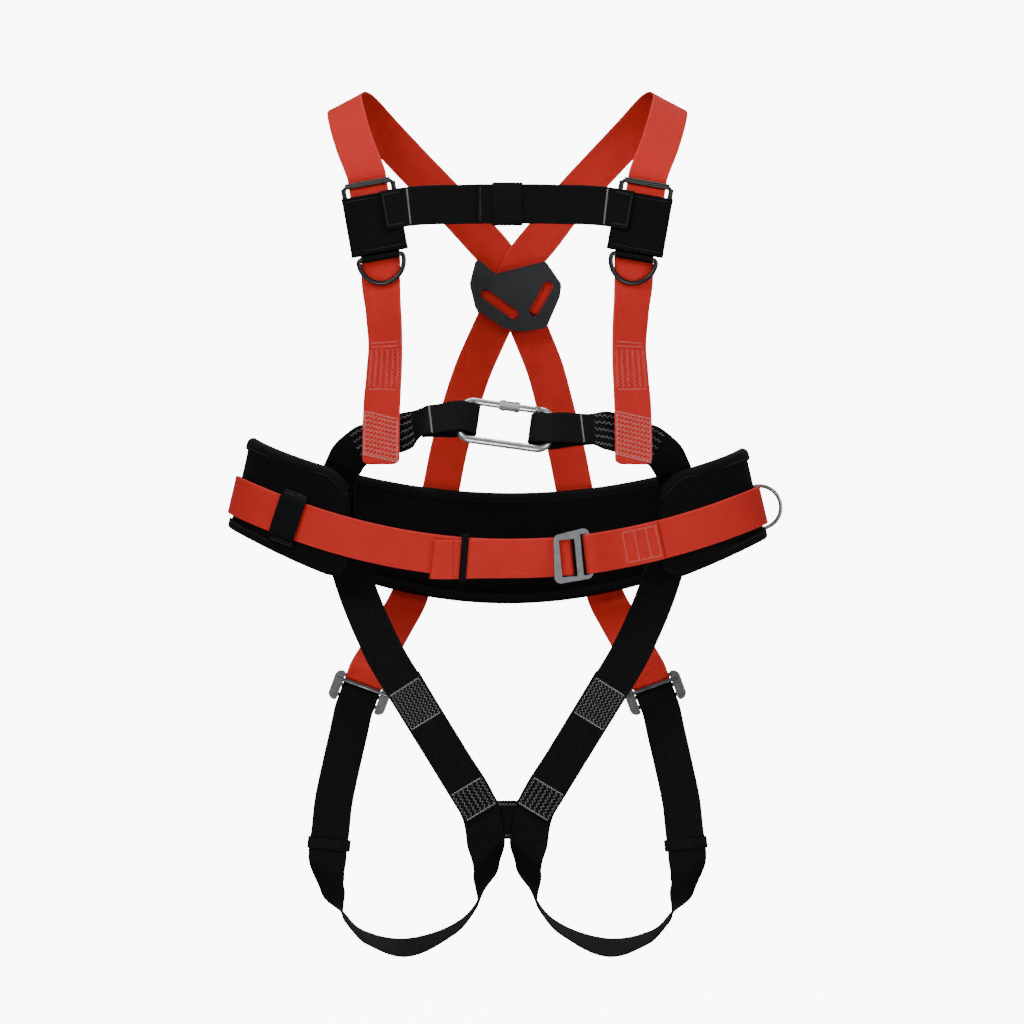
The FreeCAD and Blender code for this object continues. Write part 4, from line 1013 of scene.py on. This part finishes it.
def belt_loop(name, angle, width, room):
    """Webbing sewn to the pad above and below the belt, standing clear of it."""
    along, across, out = belt_frame(angle)
    heights = ((-31, 1.9), (-27, 1.9), (-24.6, 2.6), (-23.9, 5.0 if room > 6 else 3.6),
               (-22.4, room + 0.6), (-19, room + 1.05), (0, room + 1.2), (19, room + 1.05),
               (22.4, room + 0.6), (23.9, 5.0 if room > 6 else 3.6), (24.6, 2.6), (27, 1.9),
               (31, 1.9))
    route = []
    for height, lift in heights:
        at = belt_point(angle, 0) + across * height + out * lift
        route.append(station(at, along))
    straps[name] = Strap(route, width, 1.5)
    return webbing(name + "_webbing", straps[name], BLACK, (name,), thick=1.6)


belt_loop("belt_loop_front", 218.7, 34.0, 5.0)
belt_loop("belt_loop_rear_middle", 90.0, 40.0, 9.2)
belt_loop("belt_loop_rear_left", 132.0, 30.0, 7.2)
belt_loop("belt_loop_rear_right", 48.0, 30.0, 7.2)


def ring_eye(name, at, bar_dir, tongue_dir, out, bore, tongue, width, node):
    """Webbing turned round a ring's bar, both ends lying together in the tongue."""
    lift = bore + 0.75
    route = []
    inside = -lift
    route.append(station(at + tongue_dir * tongue + out * inside, bar_dir))
    route.append(station(at + tongue_dir * (tongue * 0.5) + out * inside, bar_dir))
    for k in range(13):
        turn = -pi / 2 - 2 * pi * 0.82 * k / 12
        route.append(station(at + tongue_dir * (lift * cos(turn)) + out * (lift * sin(turn)),
                             bar_dir))
    return webbing(name, Strap(route, width, 1.0), BLACK, (node,), thick=1.45)


for side in SIDES:
    flip = FLIP[side]
    chest_axis = ADJUSTER_AT + CHEST_UP * CHEST_RING_DROP + FORWARD * CHEST_RING_PROUD
    ring_eye("chest_ring_eye_" + side, Vec((chest_axis.x * flip, chest_axis.y, chest_axis.z)),
             Vec((CHEST_ACROSS.x * flip, 0, CHEST_ACROSS.z)),
             Vec((CHEST_UP.x * flip, 0, CHEST_UP.z)), FORWARD,
             CHEST_RING_WIRE + 0.05, 12.0, 41.8, "chest_ring_loop_" + side)
    ring_angle = SIDE_RING_ANGLE if side == "right" else 180 - SIDE_RING_ANGLE
    along, across, out = belt_frame(ring_angle)
    ring_eye("side_ring_eye_" + side, belt_point(ring_angle, SIDE_RING_OUT), across,
             along * flip, out, SIDE_RING_WIRE + 0.05, 24.0, SIDE_LOOP_HEIGHT,
             "side_ring_loop_" + side)


# ---- waist pad: foam in cloth, swelled a little by a short simulation ---------------------
PAD_START_SHRINK = 2.6      # the cloth starts this far inside the solid
PAD_SWELL_LIMIT = 2.3       # and may swell at most this far
PAD_CELL = 5.0
PAD_CORNER = 34.0


def pad_half_height(angle):
    """Half height of the pad, drawn in round the corners of its two ends."""
    half = PAD_HALF_HEIGHT + PAD_EXTRA_HEIGHT * sin(radians(angle)) ** 2
    speed = (waist_point(angle + 0.5, 0, 0) - waist_point(angle - 0.5, 0, 0)).length
    to_end = min(angle - PAD_FROM, PAD_TO - angle) * speed
    if to_end < PAD_CORNER:
        half -= PAD_CORNER - sqrt(max(0.0, PAD_CORNER ** 2 - (PAD_CORNER - to_end) ** 2))
    return half


def pad_section(half, shrink):
    """Points round the pad's section: out of the face and up, edges well rounded."""
    inner = -PAD_THICK + shrink
    outer = -shrink
    radius = (outer - inner) / 2
    middle = (outer + inner) / 2
    straight = half - shrink - radius
    rows = max(6, round(2 * PAD_HALF_HEIGHT / PAD_CELL))
    points = []
    for k in range(rows + 1):
        points.append((outer, -straight + 2 * straight * k / rows))
    for k in range(1, 4):
        turn = pi * k / 4
        points.append((middle + radius * cos(turn), straight + radius * sin(turn)))
    for k in range(rows + 1):
        points.append((inner, straight - 2 * straight * k / rows))
    for k in range(1, 4):
        turn = pi + pi * k / 4
        points.append((middle + radius * cos(turn), -straight + radius * sin(turn)))
    return points


def waist_pad():
    start = PAD_FROM + 0.6
    end = PAD_TO - 0.6
    count = 236
    verts = []
    faces = []
    for i in range(count + 1):
        angle = start + (end - start) * i / count
        ring = pad_section(pad_half_height(angle), PAD_START_SHRINK)
        verts += [waist_point(angle, out, up) for out, up in ring]
    sides = len(pad_section(PAD_HALF_HEIGHT, PAD_START_SHRINK))
    for i in range(count):
        for k in range(sides):
            nxt = (k + 1) % sides
            faces.append((i * sides + k, i * sides + nxt,
                          (i + 1) * sides + nxt, (i + 1) * sides + k))
    faces.append(tuple(range(sides - 1, -1, -1)))
    faces.append(tuple(count * sides + k for k in range(sides)))
    obj = new_object("waist_pad", verts, faces, PAD)
    face_outwards(obj, cut_ends=True)
    return obj


def swell(obj, limit):
    """Inflate the cloth with no gravity, keep the result, never past the limit."""
    before = [v.co.copy() for v in obj.data.vertices]
    cloth = obj.modifiers.new("cloth", "CLOTH")
    cloth.settings.use_pressure = True
    cloth.settings.uniform_pressure_force = 4.0
    cloth.settings.effector_weights.gravity = 0.0
    cloth.settings.mass = 0.35
    cloth.settings.tension_stiffness = 40.0
    cloth.settings.compression_stiffness = 12.0
    cloth.settings.bending_stiffness = 0.6
    cloth.settings.quality = 4
    cloth.point_cache.frame_start = 1
    cloth.point_cache.frame_end = 20
    scene = bpy.context.scene
    for moment in range(1, 21):
        scene.frame_set(moment)
    settled = obj.evaluated_get(bpy.context.evaluated_depsgraph_get()).to_mesh()
    after = [v.co.copy() for v in settled.vertices]
    obj.modifiers.remove(cloth)
    scene.frame_set(1)
    for vertex, old, new in zip(obj.data.vertices, before, after):
        shift = new - old
        if shift.length > limit:
            shift = shift.normalized() * limit
        vertex.co = old + shift
    obj.data.update()


pad = waist_pad()
swell(pad, PAD_SWELL_LIMIT * MM)
smoother = pad.modifiers.new("smooth", "SUBSURF")
smoother.levels = 1
smoother.render_levels = 1
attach(pad, ROOT)
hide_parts("waist_pad_cover", "waist_pad_foam")

# ---- binding tape and stitched line round the pad's edge ------------------------------------
def pad_outline(inset, steps=300):
    """Stations along the pad's top and bottom rims at a distance in from its edge."""
    top = []
    bottom = []
    for i in range(steps + 1):
        angle = PAD_FROM + 1.0 + (PAD_TO - PAD_FROM - 2.0) * i / steps
        half = pad_half_height(angle) - inset
        top.append((angle, half))
        bottom.append((angle, -half))
    return top, bottom


def edge_tape(name, rim):
    """Tape folded over the rim: seen on both faces, round over the edge."""
    verts = []
    faces = []
    uvs = []
    profile = []
    radius = PAD_THICK / 2 - PAD_START_SHRINK + 1.7
    for k in range(17):
        turn = pi * k / 16
        profile.append((radius * cos(turn), radius * sin(turn)))
    profile = ([(radius - 0.5, -7.0), (radius - 0.05, -6.4), (radius, -3.0)] + profile
               + [(-radius, -3.0), (-radius + 0.05, -6.4), (-radius + 0.5, -7.0)])
    length = 0.0
    previous = None
    lengths = []
    for angle, height in rim:
        out, up = waist_axes(angle)
        sign = 1 if height > 0 else -1
        centre = waist_point(angle, -PAD_THICK / 2, height - sign * (radius + 0.4))
        if previous is not None:
            length += (centre - previous).length
        previous = centre
        lengths.append(length)
        for a, b in profile:
            verts.append(centre + out * a + up * (sign * b))
    count = len(profile)
    for i in range(len(rim) - 1):
        for k in range(count - 1):
            quad = (i * count + k, i * count + k + 1, (i + 1) * count + k + 1,
                    (i + 1) * count + k)
            faces.append(quad)
            v0 = (k / (count - 1) - 0.5) * 0.034
            v1 = ((k + 1) / (count - 1) - 0.5) * 0.034
            u0 = lengths[i] * MM
            u1 = lengths[i + 1] * MM
            uvs.append(((u0, v0), (u0, v1), (u1, v1), (u1, v0)))
    obj = new_object(name, verts, faces, BINDING, uvs)
    face_outwards(obj)
    solid = obj.modifiers.new("thick", "SOLIDIFY")
    solid.thickness = 0.0006
    solid.offset = -1.0
    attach(obj, ROOT)
    return obj


rim_top, rim_bottom = pad_outline(0.0)
edge_tape("pad_binding_top", rim_top)
edge_tape("pad_binding_bottom", rim_bottom)


def pad_face_strap(heights):
    """A line over the pad's outer face, for the stitches that hold the binding."""
    route = [station(waist_point(angle, -1.5, height), waist_axes(angle)[1])
             for angle, height in heights[::6]]
    return Strap(route, 6.0, 4.0)


pad_seams = Stitching("pad_stitches", BLACK_THREAD, 0.34)
for inset_rim in pad_outline(10.5):
    line = pad_face_strap(inset_rim)
    facing = 1 if line.face[0].dot(waist_axes(inset_rim[0][0])[0]) > 0 else -1
    pad_seams.seam(line, (2.0, 0.0), (line.length - 2.0, 0.0), 0.35, facing, 4.2, 1.0)
pad_seams.finish()

# ---- sewing on the straps ---------------------------------------------------------------------
TOP = WEB_THICK / 2


def face_towards(strap, u, direction):
    surface = strap.at(u, 0, 1) - strap.at(u, 0, -1)
    return 1 if surface.dot(direction) > 0 else -1


def zigzag(sewing, strap, start, end, half, face, pitch=1.7, top=TOP):
    """Zigzag line from start to end, each (u, v), swinging half to each side."""
    run = Vec((end[0] - start[0], end[1] - start[1]))
    length = run.length
    run.normalize()
    across = Vec((-run.y, run.x))
    count = max(2, round(length / pitch))
    for i in range(count):
        swing = half if i % 2 else -half
        a = Vec(start) + run * (length * i / count) - across * swing
        b = Vec(start) + run * (length * (i + 1) / count) + across * swing
        sewing.stitch(strap, (a.x, a.y), (b.x, b.y), top, face)


def rows_across(sewing, strap, places, reach, half, face, *pitch_and_top):
    """Zigzag lines across the strap at each place along it."""
    for u in places:
        zigzag(sewing, strap, (u, -reach), (u, reach), half, face, *pitch_and_top)


def rows_along(sewing, strap, places, start, end, half, face, *pitch_and_top):
    """Zigzag lines along the strap, one at each place across it."""
    for v in places:
        zigzag(sewing, strap, (start, v), (end, v), half, face, *pitch_and_top)


grey = Stitching("grey_stitches", GREY_THREAD, 0.36)
pale_grey = Stitching("pale_grey_stitches", PALE_GREY_THREAD, 0.42)
pale = Stitching("pale_stitches", PALE_THREAD, 0.36)
red = Stitching("red_stitches", RED_THREAD, 0.34)
black = Stitching("black_stitches", BLACK_THREAD, 0.34)

for side in SIDES:
    flip = FLIP[side]
    # Chest strap: a bartack down its end where it meets the sleeve.
    strap = straps["chest_strap_" + side]
    face = face_towards(strap, 10, FORWARD)
    rows_across(pale_grey, strap, (29.0,), 19.5, 0.9, face, 1.3)
    rows_along(black, strap, (-17.5, 17.5), 2, 20, 1.0, face, 1.6)
    rows_across(black, strap, (2.5,), 17, 1.0, face, 1.6)
    end = strap.length
    back = face_towards(strap, end - 5, FORWARD)
    if side == "right":
        rows_across(black, strap, (end - 4,), 19, 1.2, back, 1.6)

    # Lower chest strap: the sewn box, then the patch that holds it to the hip strap.
    strap = straps["chest_webbing_" + side]
    box_top = strap.find(Vec((-137 * flip, -222, -77)), 60)
    box_bottom = strap.find(Vec((-139 * flip, -226, -131)), 60)
    face = face_towards(strap, box_top, FORWARD)
    rows_across(red, strap, (box_top, box_top + 4.5, box_bottom), 17, 1.1, face)
    rows_along(red, strap, (-17, -10.5, -3.5, 3.5, 10.5, 17), box_top + 8, box_bottom - 3, 1.5,
               face, 2.1)
    low = strap.length
    slope = -0.27 * flip * (1 if strap.side[-1].x * flip > 0 else -1)
    for i in range(9):
        u = low - 51 + 5.2 * i
        zigzag(pale, strap, (u + 16.5 * slope, -19), (u - 16.5 * slope, 19), 1.6, face, 2.3)
    for v in (-19.5, 19.5):
        lean = -slope * (16.5 if v > 0 else -16.5)
        zigzag(pale, strap, (low - 53 + lean, v), (low - 6 + lean, v), 1.0, face, 1.6)
    for u in (low - 55, low - 7):
        zigzag(pale, strap, (u + 16.5 * slope, -20), (u - 16.5 * slope, 20), 0.7, face, 1.2)

    # Hip strap: a bartack by the eye, rows on both sides of the sewn patch.
    strap = straps["hip_strap_" + side]
    near_eye = strap.find(Vec((-86 * flip, -241, -160)), 90, 200)
    face = face_towards(strap, near_eye, FORWARD)
    rows_across(pale_grey, strap, (near_eye,), 18, 0.9, face, 1.3)
    for first, last in ((-96, -117), (-165, -180)):
        u0 = strap.find(Vec((first * flip, -228, -180)), 90)
        u1 = strap.find(Vec((last * flip, -212, -190)), 90)
        face = face_towards(strap, (u0 + u1) / 2, FORWARD)
        rows_along(grey, strap, (-16, -8, 0, 8, 16), u0, u1, 1.5, face, 2.4)
    # The two patches that join the hip strap and the leg strap.
    for x, z, length in ((-104.5, -483, 46), (-37, -593, 34)):
        middle = strap.find(Vec((x * flip, -170, z)), 200)
        face = face_towards(strap, middle, FORWARD)
        rows = 9 if length > 40 else 7
        ends = (middle - length / 2, middle + length / 2)
        rows_along(grey, strap, [-18 + 36 * i / (rows - 1) for i in range(rows)], *ends, 1.7,
                   face, 2.2)
        rows_across(pale_grey, strap, ends, 19, 0.8, face, 1.4)

    # Leg strap's sewn tail.
    strap = straps["leg_strap_" + side]
    tail = strap.length - 9
    for face in (1, -1):
        rows_across(black, strap, (tail,), 18, 1.2, face, 1.6)

strap = straps["waist_belt"]
tail = strap.length
face = face_towards(strap, tail - 10, FORWARD)
rows_across(red, strap, (tail - 5, tail - 13, tail - 21), 18, 1.3, face, 2.0)
rows_along(red, strap, (-17, 17), 4, 44, 1.0, face_towards(strap, 20, FORWARD), 1.8)
for u in (4, 16, 30, 44):
    zigzag(red, strap, (u, -17), (u, 17), 1.2, face_towards(strap, u, FORWARD), 1.8)

strap = straps["crotch_patch"]
for face in (1, -1):
    rows_across(grey, strap, (4, strap.length - 4), 21, 1.4, face, 2.0)
    rows_along(grey, strap, (-20, 20), 4, strap.length - 4, 1.4, face, 2.0)

for strap in [straps[name] for name in straps if name.startswith("belt_loop")]:
    outward = strap.centre[len(strap.centre) // 2] - Vec((WAIST_X, WAIST_Y, PAD_SIDE_Z))
    outward.z = 0
    face = face_towards(strap, strap.length / 2, outward)
    reach = strap.width[0] / 2 - 3
    ends = (2.2, 5.2, strap.length - 5.2, strap.length - 2.2)
    rows_across(black, strap, ends, reach, 0.9, face, 1.6, 0.8)

for side in SIDES:
    flip = FLIP[side]
    for height, half in ((SLEEVE_TOP - 4.5, 28.0), (SLEEVE_BOTTOM + 4.5, 28.0)):
        route = []
        for k in range(9):
            x = -half + 2 * half * k / 8
            at = ADJUSTER_AT + CHEST_ACROSS * x + CHEST_UP * height + FORWARD * SLEEVE_FRONT
            route.append((at.x * flip, at.y, at.z, CHEST_UP.x * flip, 0, CHEST_UP.z))
        line = Strap(route, 6.0, 3.0)
        black.seam(line, (0.5, 0), (line.length - 0.5, 0), -0.25, face_towards(line, 5, FORWARD),
                   3.4, 0.8)

for sewing in (grey, pale_grey, pale, red, black):
    sewing.finish()

# ---- folded end of the belt's tail ---------------------------------------------------------
fold_route = [front_station(x, BELT_GAP + LAYER_STEP + lift, drop) for x, lift, drop in
              ((-81.5, 0.4, -6.1), (-82.6, 1.3, -6.2), (-81.5, 2.3, -6.1), (-76, 2.45, -5.6),
               (-68, 2.45, -4.8), (-59.5, 2.45, -3.9))]
fold = webbing("belt_tail_fold", Strap(fold_route, WEB_WIDTH, 1.5), RED, round_end=1.5)

# ---- studio ------------------------------------------------------------------------------------
BACKDROP_GLOW = 9.0
BACKDROP_DROP = 260.0       # the floor lies this far below the harness


def stage_material():
    paint = Paint("studio_white")
    paint.shade({"Base Color": (0.9, 0.9, 0.9), "Roughness": 0.9, "Specular IOR Level": 0.1,
                 "Emission Color": (1.0, 1.0, 1.0), "Emission Strength": BACKDROP_GLOW})
    return paint.material


def backdrop():
    """Pale floor that sweeps up into a wall well behind the object."""
    floor_z = cad_low[2] / MM - BACKDROP_DROP
    radius = 1400.0
    back = 6500.0
    line = [(-9000.0, floor_z), (back - radius, floor_z)]
    for k in range(1, 17):
        turn = -pi / 2 + pi / 2 * k / 16
        line.append((back - radius + radius * cos(turn), floor_z + radius + radius * sin(turn)))
    line.append((back, floor_z + 9500.0))
    verts = []
    for y, z in line:
        verts += [Vec((-9000, y, z)), Vec((9000, y, z))]
    faces = [(2 * i, 2 * i + 1, 2 * i + 3, 2 * i + 2) for i in range(len(line) - 1)]
    obj = new_object("backdrop", verts, faces, stage_material())
    obj.visible_diffuse = False
    obj.visible_glossy = False
    obj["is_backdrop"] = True


def area_light(name, at, aim, size, power):
    data = bpy.data.lights.new(name, "AREA")
    data.shape = "RECTANGLE"
    data.size, data.size_y = size
    data.energy = power
    obj = bpy.data.objects.new(name, data)
    obj.location = at
    obj.rotation_euler = (Vec(aim) - Vec(at)).to_track_quat("-Z", "Y").to_euler()
    bpy.context.scene.collection.objects.link(obj)


backdrop()
area_light("key", (-1.6, -2.6, 1.9), (0, -0.1, -0.25), (1.2, 1.2), 52)
area_light("fill", (2.3, -2.4, 0.6), (0, -0.1, -0.3), (1.4, 1.4), 30)
area_light("low", (-0.5, -2.8, -1.7), (0, -0.05, 0.0), (1.6, 1.2), 50)
area_light("top", (0, 0.2, 2.6), (0, -0.1, -0.2), (1.6, 1.0), 34)
area_light("rim", (0.4, 2.2, 0.8), (0, 0, -0.3), (2.0, 1.4), 8)
world = bpy.data.worlds.new("studio")
world.use_nodes = True
world.node_tree.nodes["Background"].inputs["Color"].default_value = (1, 1, 1, 1)
world.node_tree.nodes["Background"].inputs["Strength"].default_value = 0.28
bpy.context.scene.world = world

camera_data = bpy.data.cameras.new("camera")
camera_data.sensor_width = 36.0
camera_data.lens = 122.3
camera = bpy.data.objects.new("camera", camera_data)
camera.location = (0.0053, -4.115, -0.267)
camera.rotation_euler = (pi / 2, 0, 0)
bpy.context.scene.collection.objects.link(camera)
bpy.context.scene.camera = camera

low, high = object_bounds()
{"cad": [list(cad_low), list(cad_high)], "visual": [list(low), list(high)]}
